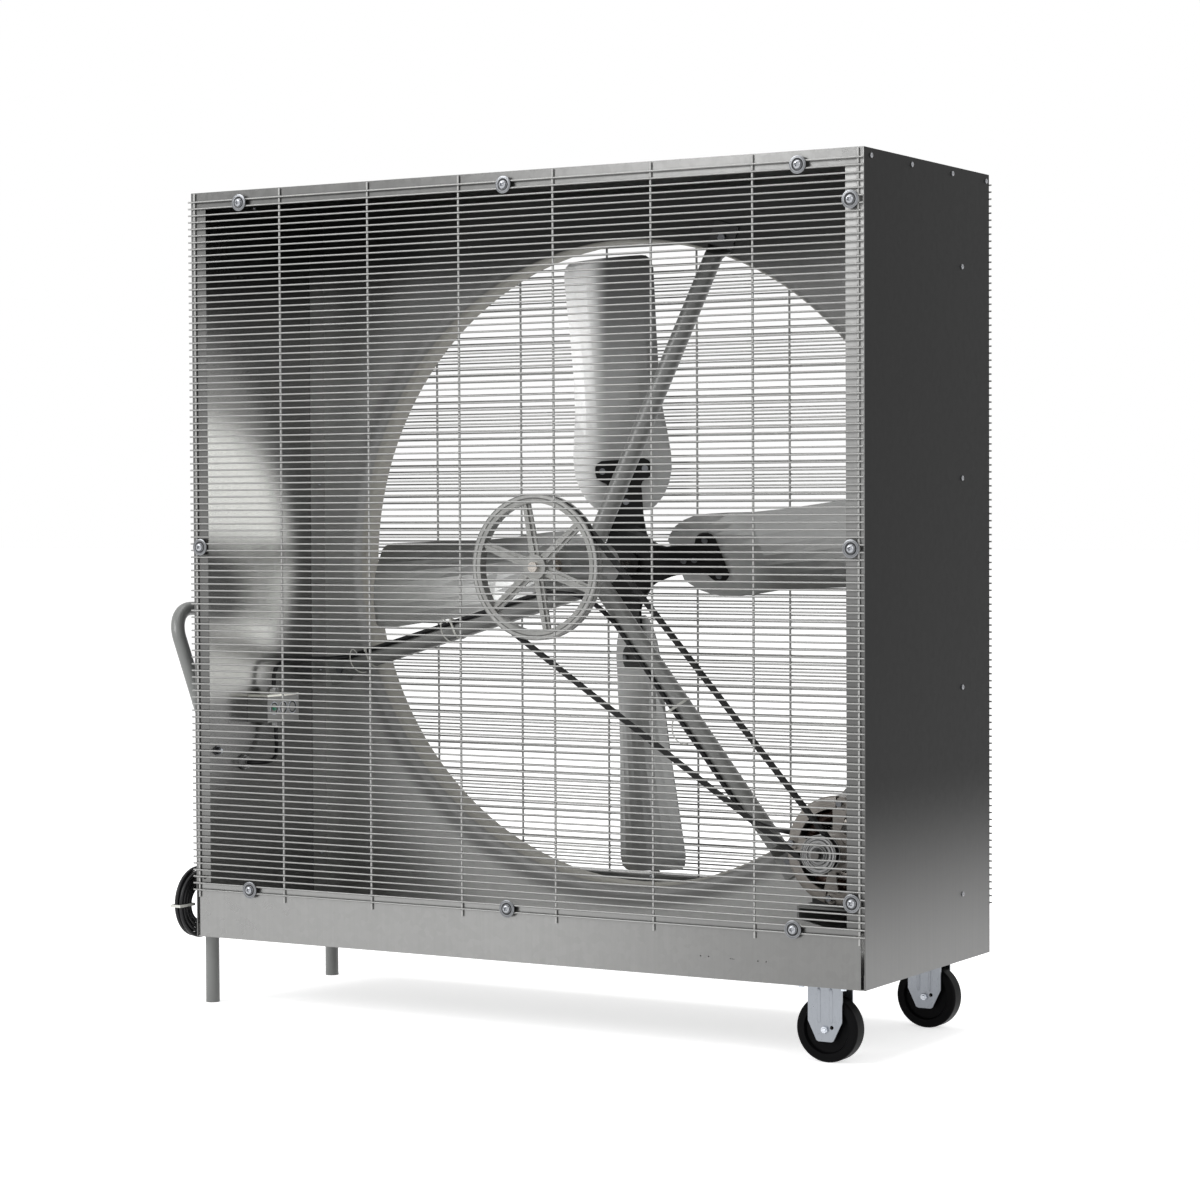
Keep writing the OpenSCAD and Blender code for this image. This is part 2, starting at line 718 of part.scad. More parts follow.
module wheel_bush_rear() {
  color([0.6, 0.6, 0.6]) placed() wheel_bush(caster_y()[1]);
}

// Drive frame: an arm is a round tube from beside the housing to a flattened end on the panel
function pad_bolts() = [top_pad, left_pad, low_pad];

function arm_start(root) = [root[0], arm_in_y, root[1]];
function pad_start(root, pad) =
  let (p = pad - (pad_l - pad_past) * unit(pad - root)) [p[0], panel_y - slack - arm_d / 2, p[1]];
function arm_reach(root, pad) = pad_start(root, pad) - arm_start(root);

// Puts children at a point with their X axis along the arm
module at_arm(at, root, pad) {
  reach = arm_reach(root, pad);
  translate(at) rotate([0, -atan2(reach[2], reach[0]), 0]) rotate([0, 0, asin(reach[1] / norm(reach))])
    children();
}

module arm(root, pad) {
  turn = atan2(pad[1] - root[1], pad[0] - root[0]);
  pad_face = panel_y - slack;
  end = pad_start(root, pad);
  flat_from = 16;
  difference() {
    union() {
      at_arm(arm_start(root), root, pad) rotate([0, 90, 0])
        cylinder(d = arm_d, h = norm(arm_reach(root, pad)));
      hull() {
        at_arm(end, root, pad) rotate([0, 90, 0]) translate([0, 0, -0.5])
          cylinder(d = arm_d - 1, h = 1, $fn = 32);
        translate([end[0], pad_face - pad_t, end[2]]) rotate([0, -turn, 0])
          block([flat_from + 1, 0.3, 0.5 - pad_w / 2], [flat_from + 1.6, pad_t - 0.3, pad_w / 2 - 0.5]);
      }
      translate([end[0], pad_face - pad_t, end[2]]) rotate([0, -turn, 0])
        block([flat_from, 0, -pad_w / 2], [pad_l, pad_t, pad_w / 2]);
    }
    along_y(0, mid_z, housing_y0, housing_y1, housing_d + 2 * slack);
    along_y(pad[0], pad[1], pad_face - 30, pad_face + 5, arm_bolt_d + hole_room);
  }
}

module arm_top() {
  color([0.45, 0.46, 0.45]) placed() arm(top_root, top_pad);
}

module arm_left() {
  color([0.45, 0.46, 0.45]) placed() arm(left_root, left_pad);
}

module arm_lower() {
  color([0.45, 0.46, 0.45]) placed() arm(low_root, low_pad);
}

module arm_bolts() {
  head = panel_y - 2 * slack - pad_t;
  across = arm_bolt_d * 1.7;
  color([0.75, 0.75, 0.75]) placed() for (p = pad_bolts()) {
    translate([p[0], head, p[1]]) rotate([90, 0, 0]) cylinder(d = across, h = 6, $fn = 6);
    along_y(p[0], p[1], head, panel_y + sheet + 10, arm_bolt_d);
    translate([p[0], panel_y + sheet + slack, p[1]]) rotate([-90, 0, 0]) cylinder(d = across, h = 7, $fn = 6);
  }
}

module bearing_housing() {
  seat = bearing_d + 2 * fit_gap;
  color([0.5, 0.51, 0.5]) placed() difference() {
    along_y(0, mid_z, housing_y0, housing_y1, housing_d);
    along_y(0, mid_z, housing_y0 - 1, housing_y1 + 1, bearing_d - 6);
    along_y(0, mid_z, housing_y0 - 1, housing_y0 + bearing_w + slack, seat);
    along_y(0, mid_z, housing_y1 - bearing_w - slack, housing_y1 + 1, seat);
  }
}

module bearing(y) {
  race = 4;
  groove = 0.8;
  difference() {
    along_y(0, mid_z, y, y + bearing_w, bearing_d);
    along_y(0, mid_z, y - 1, y + bearing_w + 1, shaft_d + 2 * run_gap);
    for (s = [0, 1]) translate([0, y + s * bearing_w, mid_z]) rotate([-90, 0, 0]) rotate_extrude()
      translate([shaft_d / 2 + race, -groove]) square([(bearing_d - shaft_d) / 2 - 2 * race, 2 * groove]);
  }
}

module bearing_front() {
  color([0.7, 0.7, 0.72]) placed() bearing(housing_y0);
}

module bearing_rear() {
  color([0.7, 0.7, 0.72]) placed() bearing(housing_y1 - bearing_w);
}

// Fan rotor: shaft, pulley, spider and blades
module fan_shaft() {
  color([0.65, 0.63, 0.6]) placed() along_y(0, mid_z, shaft_y0, prop_y + spider_hub_l + 4, shaft_d);
}

// The V groove of a pulley whose belt runs flush with out_r, cut from profiles that run from y = -w/2
module groove_profile(out_r) {
  half_top = belt_w / 2 + belt_gap / cos(belt_angle);
  deep = belt_t + groove_floor;
  polygon([[out_r + 3, -half_top - 3 * tan(belt_angle)], [out_r + 3, half_top + 3 * tan(belt_angle)],
    [out_r - deep, half_top - deep * tan(belt_angle)], [out_r - deep, -half_top + deep * tan(belt_angle)]]);
}

module drive_pulley() {
  r = pulley_d / 2;
  half = pulley_w / 2;
  rim_in = r - 17;
  hub_r = 23;
  boss_l = 14;
  web = 3;
  ridge = 7;
  color([0.75, 0.75, 0.73]) placed() translate([0, belt_y, mid_z]) rotate([-90, 0, 0]) difference() {
    union() {
      rotate_extrude($fn = 120) difference() {
        translate([rim_in, -half]) square([r - rim_in, pulley_w]);
        groove_profile(belt_out_big);
      }
      translate([0, 0, -half]) cylinder(r = hub_r, h = pulley_w + boss_l);
      for (i = [0:5]) rotate([0, 0, 60 * i - 40.5]) {
        translate([0, 0, -web]) linear_extrude(2 * web)
          polygon([[15, -10.2], [rim_in + 2, -7.5], [rim_in + 2, 7.5], [15, 10.2]]);
        translate([0, 0, -ridge]) linear_extrude(2 * ridge)
          polygon([[17, -3.5], [rim_in + 3, -2.5], [rim_in + 3, 2.5], [17, 3.5]]);
      }
    }
    translate([0, 0, -pulley_w]) cylinder(d = shaft_d + 2 * fit_gap, h = pulley_w * 3);
    translate([0, 0, half + set_screw_at]) rotate([90, 0, 0]) cylinder(d = set_screw_d + 2 * fit_gap, h = 40);
  }
}

module pulley_set_screw() {
  along = belt_y + pulley_w / 2 + set_screw_at;
  color([0.25, 0.25, 0.25]) placed() translate([0, along, mid_z + shaft_d / 2 + 0.1])
    cylinder(d = set_screw_d, h = 12);
}

// Propeller. Points of a blade or arm: radius r along the arm, u from -1 to 1 across it, rise towards the front
function blend(x, a, b) = let (t = min(1, max(0, (x - a) / (b - a)))) t * t * (3 - 2 * t);
// Radius up to which a blade lies flat on its spider arm
flat_r = 205;
function blade_pitch(r) = r < flat_r ? pitch_root
  : pitch_tip + (pitch_root - pitch_tip) * pow((prop_d / 2 - r) / (prop_d / 2 - flat_r), 1.3);
function strip_point(r, c, rise, pitch) =
  [c * cos(pitch) + rise * sin(pitch), c * sin(pitch) - rise * cos(pitch), r];

// Half chord of the blade at chosen radii, as fractions of the propeller's radius
blade_outline = [[0.171, 46], [0.186, 58], [0.215, 74], [0.255, 86], [0.3, 93], [0.35, 94], [0.42, 90],
  [0.5, 84], [0.62, 82], [0.75, 84], [0.88, 87], [0.955, 88.5], [0.985, 84], [0.997, 76], [1, 68]];

// A thin curved strip: rows of [radius, half width, pitch, rise of its curve], front face then back face
module strip(rows, thick) {
  n = len(rows);
  m = 9;
  side = [for (back = [0, 1]) for (i = [0:n - 1]) for (k = [0:m - 1])
    let (row = rows[i], u = 2 * k / (m - 1) - 1)
    strip_point(row[0], u * row[1], row[3] * (1 - u * u) - back * thick, row[2])];
  layer = n * m;
  skin = [for (i = [0:n - 2]) for (k = [0:m - 2]) let (a = i * m + k)
    each [[a, a + 1, a + m], [a + 1, a + m + 1, a + m],
      [layer + a, layer + a + m, layer + a + 1], [layer + a + 1, layer + a + m, layer + a + m + 1]]];
  long_edges = [for (i = [0:n - 2]) for (k = [0, m - 1]) let (a = i * m + k)
    each k == 0 ? [[a, a + m, layer + a], [a + m, layer + a + m, layer + a]]
      : [[a, layer + a, a + m], [a + m, layer + a, layer + a + m]]];
  ends = [for (i = [0, n - 1]) for (k = [0:m - 2]) let (a = i * m + k)
    each i == 0 ? [[a, layer + a, a + 1], [a + 1, layer + a, layer + a + 1]]
      : [[a, a + 1, layer + a], [a + 1, layer + a + 1, layer + a]]];
  polyhedron(points = side, faces = [for (f = concat(skin, long_edges, ends)) [f[2], f[1], f[0]]]);
}

function bolt_spots() = [[180, -41], [180, 41], [142, 0], [119, 0]];

module on_arm(i) {
  translate([0, prop_y, mid_z]) rotate([0, -prop_turn + 90 * i, 0]) children();
}

module bolt_holes(d) {
  for (b = bolt_spots())
    translate(strip_point(b[0], b[1], 0, pitch_root)) rotate([0, 0, pitch_root]) rotate([90, 0, 0])
      translate([0, 0, -40]) cylinder(d = d, h = 80);
}

module blade(i) {
  rows = [for (p = blade_outline) let (r = p[0] * prop_d / 2)
    [r, p[1], blade_pitch(r), camber * blend(r, flat_r, 300)]];
  color([0.72, 0.73, 0.72]) placed() on_arm(i) difference() {
    strip(rows, blade_t);
    bolt_holes(blade_bolt_d + hole_room);
  }
}

module blade_1() {
  blade(0);
}

module blade_2() {
  blade(1);
}

module blade_3() {
  blade(2);
}

module blade_4() {
  blade(3);
}

// The spider's plate in one closed surface: a square centre and four arms that bend to the blades' pitch.
// Rows of an arm are [radius, half width]; its first row is a side of the square
plate_rows = [[46, 46], [54, 41], [62, 37.5], [71, neck_half + 3], [81, neck_half + 1], [92, neck_half],
  [104, neck_half], [150, neck_half], [156, neck_half + 3], [160, 43], [164, 49], [170, 53], [178, 54.5],
  [189, 53.5], [196, 49], [200, 41]];
plate_cells = 4;
function plate_point(i, row, u, back) =
  let (p = strip_point(row[0], u * row[1], slack + (1 - back) * spider_t, pitch_root * blend(row[0], 46, 92)),
    a = 90 * i)
  [p[0] * cos(a) + p[2] * sin(a), p[1], p[2] * cos(a) - p[0] * sin(a)];

module spider_plate() {
  n = len(plate_rows);
  m = plate_cells + 1;
  arm = n * m;
  layer = 4 * arm;
  points = concat([for (back = [0, 1]) for (i = [0:3]) for (row = plate_rows) for (k = [0:m - 1])
    plate_point(i, row, 2 * k / (m - 1) - 1, back)],
    [[0, -slack - spider_t, 0], [0, -slack, 0]]);
  skin = [for (i = [0:3]) for (j = [0:n - 2]) for (k = [0:m - 2]) let (a = i * arm + j * m + k)
    each [[a + m, a + 1, a], [a + m, a + m + 1, a + 1],
      [layer + a + 1, layer + a + m, layer + a], [layer + a + m + 1, layer + a + m, layer + a + 1]]];
  edges = [for (i = [0:3]) for (j = [0:n - 2]) for (k = [0, m - 1]) let (a = i * arm + j * m + k)
    each k == 0 ? [[layer + a, a + m, a], [layer + a, layer + a + m, a + m]]
      : [[a + m, layer + a, a], [layer + a + m, layer + a, a + m]]];
  tips = [for (i = [0:3]) for (k = [0:m - 2]) let (a = i * arm + (n - 1) * m + k)
    each [[layer + a, a + 1, a], [layer + a, layer + a + 1, a + 1]]];
  middle = [for (i = [0:3]) for (k = [0:m - 2]) let (a = i * arm + k)
    each [[a, a + 1, 2 * layer], [layer + a + 1, layer + a, 2 * layer + 1]]];
  shared = [for (f = concat(skin, edges, tips, middle)) [for (v = f) spider_weld(v, arm, m, layer)]];
  polyhedron(points = points, faces = shared);
}

// The corner of the square that an arm shares with the next one is one point
function spider_weld(v, arm, m, layer) =
  v >= 2 * layer ? v
  : let (w = v % layer, i = floor(w / arm), rest = w % arm)
    rest == m - 1 ? v - w + ((i + 1) % 4) * arm : v;

module prop_spider() {
  hub_y = prop_y - spider_t - 10;
  hub_end = prop_y + spider_hub_l;
  color([0.06, 0.06, 0.06]) placed() difference() {
    union() {
      along_y(0, mid_z, hub_y, hub_end, spider_hub_d);
      on_arm(0) spider_plate();
    }
    along_y(0, mid_z, hub_y - 1, hub_end + 1, shaft_d + 2 * fit_gap);
    for (i = [0:3]) on_arm(i) bolt_holes(blade_bolt_d + hole_room);
  }
}

module blade_bolts() {
  face = spider_t + 2 * slack;
  color([0.6, 0.6, 0.6]) placed() for (i = [0:3]) on_arm(i) for (b = bolt_spots())
    translate(strip_point(b[0], b[1], 0, pitch_root)) rotate([0, 0, pitch_root]) rotate([90, 0, 0]) {
      translate([0, 0, face]) cylinder(d = 12, h = 3);
      translate([0, 0, -blade_t - 9]) cylinder(d = blade_bolt_d, h = face + blade_t + 9);
      translate([0, 0, -blade_t - slack - 6]) cylinder(d = 14, h = 6, $fn = 6);
    }
}

// Belt: two arcs and two straight runs of one tapered section
module belt_section() {
  half_in = belt_w / 2 - belt_t * tan(belt_angle);
  polygon([[0, -belt_w / 2], [0, belt_w / 2], [-belt_t, half_in], [-belt_t, -half_in]]);
}

module drive_belt() {
  big = belt_out_big;
  small = belt_out_small;
  run = drive_c * cos(wrap_a);
  color([0.07, 0.07, 0.07]) placed() translate([0, belt_y, mid_z]) rotate([-90, 0, 0])
    rotate([0, 0, -drive_a]) {
      rotate([0, 0, 90 - wrap_a]) rotate_extrude(angle = 180 + 2 * wrap_a, $fn = 120)
        translate([big, 0]) belt_section();
      translate([drive_c, 0, 0]) rotate([0, 0, -90 + wrap_a])
        rotate_extrude(angle = 180 - 2 * wrap_a, $fn = 96) translate([small, 0]) belt_section();
      for (s = [-1, 1]) rotate([0, 0, s * (90 - wrap_a)]) translate([big, 0, 0]) rotate([s * 90, 0, 0])
        translate([0, 0, -0.01]) linear_extrude(run + 0.02) belt_section();
    }
}

// Motor
module motor_shell() {
  y0 = motor_y + bell_t;
  color([0.6, 0.58, 0.55]) placed() difference() {
    along_y(motor_x, motor_z, y0, y0 + motor_l, motor_d);
    along_y(motor_x, motor_z, y0 - 1, y0 + motor_l + 1, motor_d - 7);
  }
}

module motor_bolt_holes(d) {
  for (i = [0:3]) translate([motor_x, 0, motor_z]) rotate([0, bolt_turn - 90 * i, 0])
    along_y(motor_bolt_r, 0, motor_y - 20, motor_y + motor_l + 2 * bell_t + 20, d);
}

module end_bell(y0, y1, boss_y0, boss_y1) {
  window_in = 36;
  window_out = 68;
  window_arc = 62;
  difference() {
    union() {
      along_y(motor_x, motor_z, y0, y1, motor_d + 2);
      along_y(motor_x, motor_z, boss_y0, boss_y1, bell_boss_d);
      intersection() {
        motor_bolt_bosses(y0, y1);
        along_y(motor_x, motor_z, y0, y1, motor_d + 14);
      }
    }
    along_y(motor_x, motor_z, motor_y - 40, motor_y + motor_l + 80, motor_shaft_d + 2 * run_gap);
    motor_bolt_holes(screw_d + hole_room);
    for (i = [0:3]) translate([motor_x, (y0 + y1) / 2, motor_z])
      rotate([0, 90 * i + bolt_turn + 45 + window_arc / 2, 0]) rotate([90, 0, 0])
        translate([0, 0, -bell_t]) rotate_extrude(angle = window_arc)
          translate([window_in, 0]) square([window_out - window_in, 2 * bell_t]);
  }
}

module motor_bolt_bosses(y0, y1) {
  for (i = [0:3]) translate([motor_x, 0, motor_z]) rotate([0, bolt_turn - 90 * i, 0])
    along_y(motor_bolt_r, 0, y0, y1, bolt_lug_d);
}

module motor_front_bell() {
  y1 = motor_y + bell_t - slack;
  color([0.62, 0.59, 0.55]) placed() end_bell(motor_y, y1, motor_y - 7, y1);
}

module motor_rear_bell() {
  y0 = motor_y + bell_t + motor_l + slack;
  color([0.62, 0.59, 0.55]) placed() end_bell(y0, y0 + bell_t, y0, y0 + bell_t + 3);
}

module motor_bolts() {
  y0 = motor_y - slack;
  y1 = motor_y + 2 * bell_t + motor_l + 2 * slack;
  across = 12;
  color([0.5, 0.5, 0.5]) placed() for (i = [0:3])
    translate([motor_x, 0, motor_z]) rotate([0, bolt_turn - 90 * i, 0]) {
      along_y(motor_bolt_r, 0, y0 - 1, y1 + 2, screw_d);
      translate([motor_bolt_r, y0, 0]) rotate([90, 0, 0]) cylinder(d = across, h = 5, $fn = 6);
      translate([motor_bolt_r, y1, 0]) rotate([-90, 0, 0]) cylinder(d = across, h = 4, $fn = 6);
    }
}

module motor_stator() {
  y0 = motor_y + bell_t + 45;
  y1 = y0 + 125;
  color([0.4, 0.4, 0.42]) placed() difference() {
    along_y(motor_x, motor_z, y0, y1, 2 * motor_bolt_r - screw_d - 4);
    along_y(motor_x, motor_z, y0 - 1, y1 + 1, rotor_d + 1);
  }
}

module motor_rotor() {
  y0 = motor_y + bell_t + 50;
  shaft_y1 = motor_y + motor_l + 2 * bell_t - 2;
  color([0.55, 0.55, 0.56]) placed() {
    along_y(motor_x, motor_z, belt_y - pulley_w / 2 - 14, shaft_y1, motor_shaft_d);
    along_y(motor_x, motor_z, y0, y0 + 115, rotor_d);
  }
}

module motor_pulley() {
  r = motor_pulley_d / 2;
  color([0.72, 0.72, 0.7]) placed() translate([motor_x, belt_y, motor_z]) rotate([-90, 0, 0]) difference() {
    union() {
      rotate_extrude($fn = 96) difference() {
        translate([0, -pulley_w / 2]) square([r, pulley_w]);
        groove_profile(belt_out_small);
        translate([17, -pulley_w / 2 - 1]) square([5, 4]);
        translate([26, -pulley_w / 2 - 1]) square([3, 2.5]);
      }
      translate([0, 0, -pulley_w / 2 - 4]) cylinder(d = 28, h = pulley_w + 16);
    }
    translate([0, 0, -pulley_w]) cylinder(d = motor_shaft_d + 2 * fit_gap, h = pulley_w * 3);
  }
}

function foot_y() = [motor_y + bell_t + 22, motor_y + bell_t + motor_l - 26];

module motor_foot() {
  low = shelf_top + slack;
  from = foot_y()[0];
  color([0.3, 0.3, 0.3]) placed() difference() {
    union() {
      block([motor_x - foot_half, from, low], [motor_x + foot_half, foot_y()[1] + shelf_t, low + shelf_t]);
      for (y = foot_y())
        block([motor_x - foot_half + 8, y, low], [motor_x + foot_half - 8, y + shelf_t, motor_z - 40]);
    }
    along_y(motor_x, motor_z, motor_y, motor_y + motor_l + 40, motor_d + 2 * slack);
    for (x = foot_bolt_x) for (y = foot_bolt_y)
      translate([motor_x + x, from + y, low - 1]) cylinder(d = screw_d + hole_room, h = shelf_t + 2);
  }
}

function bracket_bolts() = [for (x = [-62, 62]) for (z = [-22, -60]) [motor_x + x, shelf_top + z]];

module motor_bracket() {
  y0 = motor_y + bell_t + 6;
  y1 = panel_y - slack;
  low = shelf_top - bracket_drop;
  color([0.45, 0.46, 0.45]) placed() difference() {
    union() {
      block([motor_x - shelf_half, y0, shelf_top - shelf_t], [motor_x + shelf_half, y1, shelf_top]);
      block([motor_x - shelf_half, y1 - shelf_t, low], [motor_x + shelf_half, y1, shelf_top]);
      for (s = [-1, 1]) translate([motor_x + s * shelf_half - (s > 0 ? shelf_t : 0), 0, 0])
        rotate([90, 0, 90]) linear_extrude(shelf_t)
          polygon([[y0, shelf_top], [y0, shelf_top - 22], [y1 - 40, low], [y1, low], [y1, shelf_top]]);
    }
    for (p = bracket_bolts()) along_y(p[0], p[1], y1 - shelf_t - 1, y1 + 1, screw_d + hole_room);
    for (x = foot_bolt_x) for (y = foot_bolt_y) for (dx = [-9:3:9])
      translate([motor_x + x + dx, foot_y()[0] + y, shelf_top - shelf_t - 1])
        cylinder(d = screw_d + hole_room, h = shelf_t + 2);
  }
}

module motor_bracket_bolts() {
  head = panel_y - 2 * slack - shelf_t;
  color([0.7, 0.7, 0.7]) placed() {
    for (p = bracket_bolts()) {
      translate([p[0], head, p[1]]) rotate([90, 0, 0]) cylinder(d = hex_d, h = 4.5, $fn = 6);
      along_y(p[0], p[1], head, panel_y + sheet + 8, screw_d);
      translate([p[0], panel_y + sheet + slack, p[1]]) rotate([-90, 0, 0]) cylinder(d = hex_d, h = 5, $fn = 6);
    }
    for (x = foot_bolt_x) for (y = foot_bolt_y) translate([motor_x + x, foot_y()[0] + y, shelf_top]) {
      translate([0, 0, shelf_t + 2 * slack]) cylinder(d = hex_d, h = 4.5, $fn = 6);
      translate([0, 0, -shelf_t - 7]) cylinder(d = screw_d, h = 2 * shelf_t + 2 * slack + 7);
      translate([0, 0, -shelf_t - slack - 5]) cylinder(d = hex_d, h = 5, $fn = 6);
    }
  }
}

module conduit_box() {
  x1 = motor_x - motor_d / 2 + 8;
  x0 = x1 - 34;
  cable_y = cable_route[len(cable_route) - 1][1];
  cable_z = cable_route[len(cable_route) - 1][2];
  color([0.3, 0.3, 0.3]) placed() difference() {
    union() {
      block([x0, cable_y - 33, motor_z - 22], [x1, cable_y + 37, motor_z + 38]);
      along_x(cable_y, cable_z, x0 - 10, x0 + 1, 2 * cable_d + 1);
    }
    along_y(motor_x, motor_z, motor_y, motor_y + motor_l + 40, motor_d + 2 * slack);
    along_x(cable_y, cable_z, x0 - 11, x0 + 8, cable_d + 2 * slack);
  }
}

// Switch
module switch_box() {
  y0 = box_y - box_l / 2;
  z0 = box_z - box_h / 2;
  lip = web_in - slack;
  blank_d = 22;
  color([0.7, 0.71, 0.7]) placed() difference() {
    block([-lip, y0, z0], [-box_face_x, y0 + box_l, z0 + box_h]);
    block([-lip - 1, y0 + box_wall, z0 + box_wall],
      [-box_face_x - box_wall, y0 + box_l - box_wall, z0 + box_h - box_wall]);
    for (y = [-30, 0, 30]) translate([-box_face_x - 0.5, box_y + y, box_z]) rotate([0, 90, 0])
      difference() {
        cylinder(d = blank_d, h = 2);
        translate([0, 0, -1]) cylinder(d = blank_d - 1.6, h = 4);
      }
    for (c = cable_ends()) translate([clamp_x, c[0], box_z + c[1] * box_h / 2 - 3])
      cylinder(d = cable_d + 6, h = 6);
  }
}

// Where the cables enter the switch box: depth, side of the box and cable diameter
clamp_x = -680;
function cable_ends() = [[222, -1, cord_d], [216, 1, cable_d]];

module switch_body() {
  front = -web_in + slack;
  color([0.85, 0.84, 0.8]) placed() difference() {
    union() {
      block([front + slack, box_y - 33, box_z - 15], [-box_face_x - box_wall - 8, box_y + 33, box_z + 15]);
      block([front, box_y - 48, box_z - 9], [front + 1.55, box_y + 48, box_z + 9]);
    }
    block([-web_in - 1, box_y - toggle_slot_y, box_z - toggle_slot_z],
      [22 - web_in, box_y + toggle_slot_y, box_z + toggle_slot_z]);
    translate([toggle_x, box_y, box_z - 10]) cylinder(d = toggle_pin_d + 2 * run_gap, h = 20);
  }
}

module switch_plate() {
  back = -half_w - slack;
  plate_t = 2;
  color([0.75, 0.75, 0.74]) placed() difference() {
    block([back - plate_t, box_y - 57, box_z - 35], [back, box_y + 57, box_z + 35]);
    block([back - plate_t - 1, box_y - toggle_slot_y, box_z - toggle_slot_z - 0.2],
      [back + 1, box_y + toggle_slot_y, box_z + toggle_slot_z + 0.2]);
    for (y = [-42, 42]) translate([back - plate_t - 0.4, box_y + y, box_z]) rotate([0, 90, 0]) cylinder(d = 4, h = 1);
  }
}

module switch_toggle() {
  color([0.08, 0.08, 0.08]) placed() translate([toggle_x, box_y, box_z]) {
    translate([0, 0, -9]) cylinder(d = toggle_pin_d, h = 18);
    translate([0, 0, -4.6]) cylinder(d = 9, h = 9.2);
    rotate([0, 0, 180 - toggle_rest]) {
      block([0, -3.2, -3.6], [26, 3.2, 3.6]);
      translate([26, 0, -3.6]) cylinder(d = 6.4, h = 7.2);
    }
  }
}

// Clamps where cables enter the box, and the strain relief through the left panel
module cable_clamps() {
  clamp_d = 20;
  nut_across = 25;
  color([0.6, 0.6, 0.6]) placed() {
    for (c = cable_ends()) translate([clamp_x, c[0], box_z + c[1] * (box_h / 2 + 6)]) difference() {
      union() {
        cylinder(d = clamp_d, h = 11.9, center = true);
        cylinder(d = nut_across, h = 5, center = true, $fn = 8);
        translate([0, 0, -c[1] * 7.5]) cylinder(d = cable_d + 5.8, h = 4, center = true);
      }
      cylinder(d = c[2] + 2 * slack, h = 60, center = true);
    }
    difference() {
      union() {
        along_x(cord_out[1], cord_out[2], cord_out[0], 13 - web_in, relief_d);
        along_x(cord_out[1], cord_out[2], -half_w - 8, -half_w - slack, relief_d + 5);
        translate([slack - web_in, cord_out[1], cord_out[2]]) rotate([0, 90, 0])
          cylinder(d = relief_d + 8, h = 6, $fn = 6);
      }
      along_x(cord_out[1], cord_out[2], cord_out[0] - 1, 14 - web_in, cord_d + 2 * slack);
    }
  }
}

module motor_cable() {
  color([0.05, 0.05, 0.05]) placed() tube_along(smooth(cable_route, 2), cable_d, 8);
}

module supply_cord() {
  color([0.05, 0.05, 0.05]) placed() {
    tube_along(smooth(inner_route, 1), cord_d, 8);
    tube_along(smooth(cord_route, 1), cord_d, 8, [0, 1, 0]);
    tube_along(smooth(tail_route, 1), cord_d, 8);
  }
}

// Coil: two layers of loops, spiralling in and out again, starting at the rear and heading down
coil_total = 360 * coil_turns;
function coil_radius(a) = coil_r - coil_pitch * (coil_total / 2 - abs(a - coil_total / 2)) / 360;
function coil_side(a) = -coil_layer * blend(a, coil_total / 2 - 90, coil_total / 2 + 90);
function coil_point(a) = coil_mid + [coil_side(a), coil_radius(a) * cos(a), -coil_radius(a) * sin(a)];
coil_step = 15;
coil_line = concat([coil_point(0) + [0, 0, cord_d]], [for (a = [0:coil_step:coil_total]) coil_point(a)],
  [coil_point(coil_total) + [0, cord_d, 0]]);
function coil_gap(p, reach) = min([for (i = [0:len(p) - 1]) for (j = [i + reach:1:len(p) - 1])
  norm(p[i] - p[j])]) - cord_d;

module cord_coil() {
  echo(least_gap_in_coil = coil_gap(coil_line, 14));
  color([0.05, 0.05, 0.05]) placed() tube_along(coil_line, cord_d, 6, [1, 0, 0]);
}

module plug() {
  color([0.05, 0.05, 0.05]) placed() translate(plug_top) {
    translate([0, 0, -26]) cylinder(d1 = 22, d2 = 11, h = 26, $fn = 32);
    translate([0, 0, -44]) cylinder(d = 27, h = 18, $fn = 32);
    for (s = [-1, 1]) block([-3, s * 6.35 - 0.75, -62], [3, s * 6.35 + 0.75, -44]);
    translate([8, 0, -65]) cylinder(d = 4.8, h = 21);
  }
}

// A tie band round an arm and the cable beside it, part of the way along the arm;
// beside is the cable's middle in the arm's cross-section
tie_t = 1.3;
module tie_outline(grow, beside) {
  hull() {
    circle(r = arm_d / 2 + grow, $fn = 32);
    translate(beside) circle(r = cable_d / 2 + grow, $fn = 32);
  }
}

module arm_tie(root, pad, part, beside) {
  at = arm_start(root) + part * arm_reach(root, pad);
  at_arm(at, root, pad) rotate([90, 0, 90]) translate([0, 0, -2.4]) linear_extrude(4.8) difference() {
    union() {
      tie_outline(tie_gap + tie_t, beside);
      translate(beside * 1.22) square(8, center = true);
    }
    tie_outline(tie_gap, beside);
  }
}

module cable_ties() {
  on_left = [-15.8, -15.8];
  on_lower = [-19.3, -11.2];
  color([0.85, 0.85, 0.82]) placed() {
    arm_tie(left_root, left_pad, 0.89, on_left);
    arm_tie(left_root, left_pad, 0.52, on_left);
    arm_tie(low_root, low_pad, 0.5, on_lower);
    difference() {
      block([-761, -12, 53], [-737, 35, 58]);
      block([-759.6, -10.6, 52], [-738.4, 33.6, 59]);
    }
  }
}

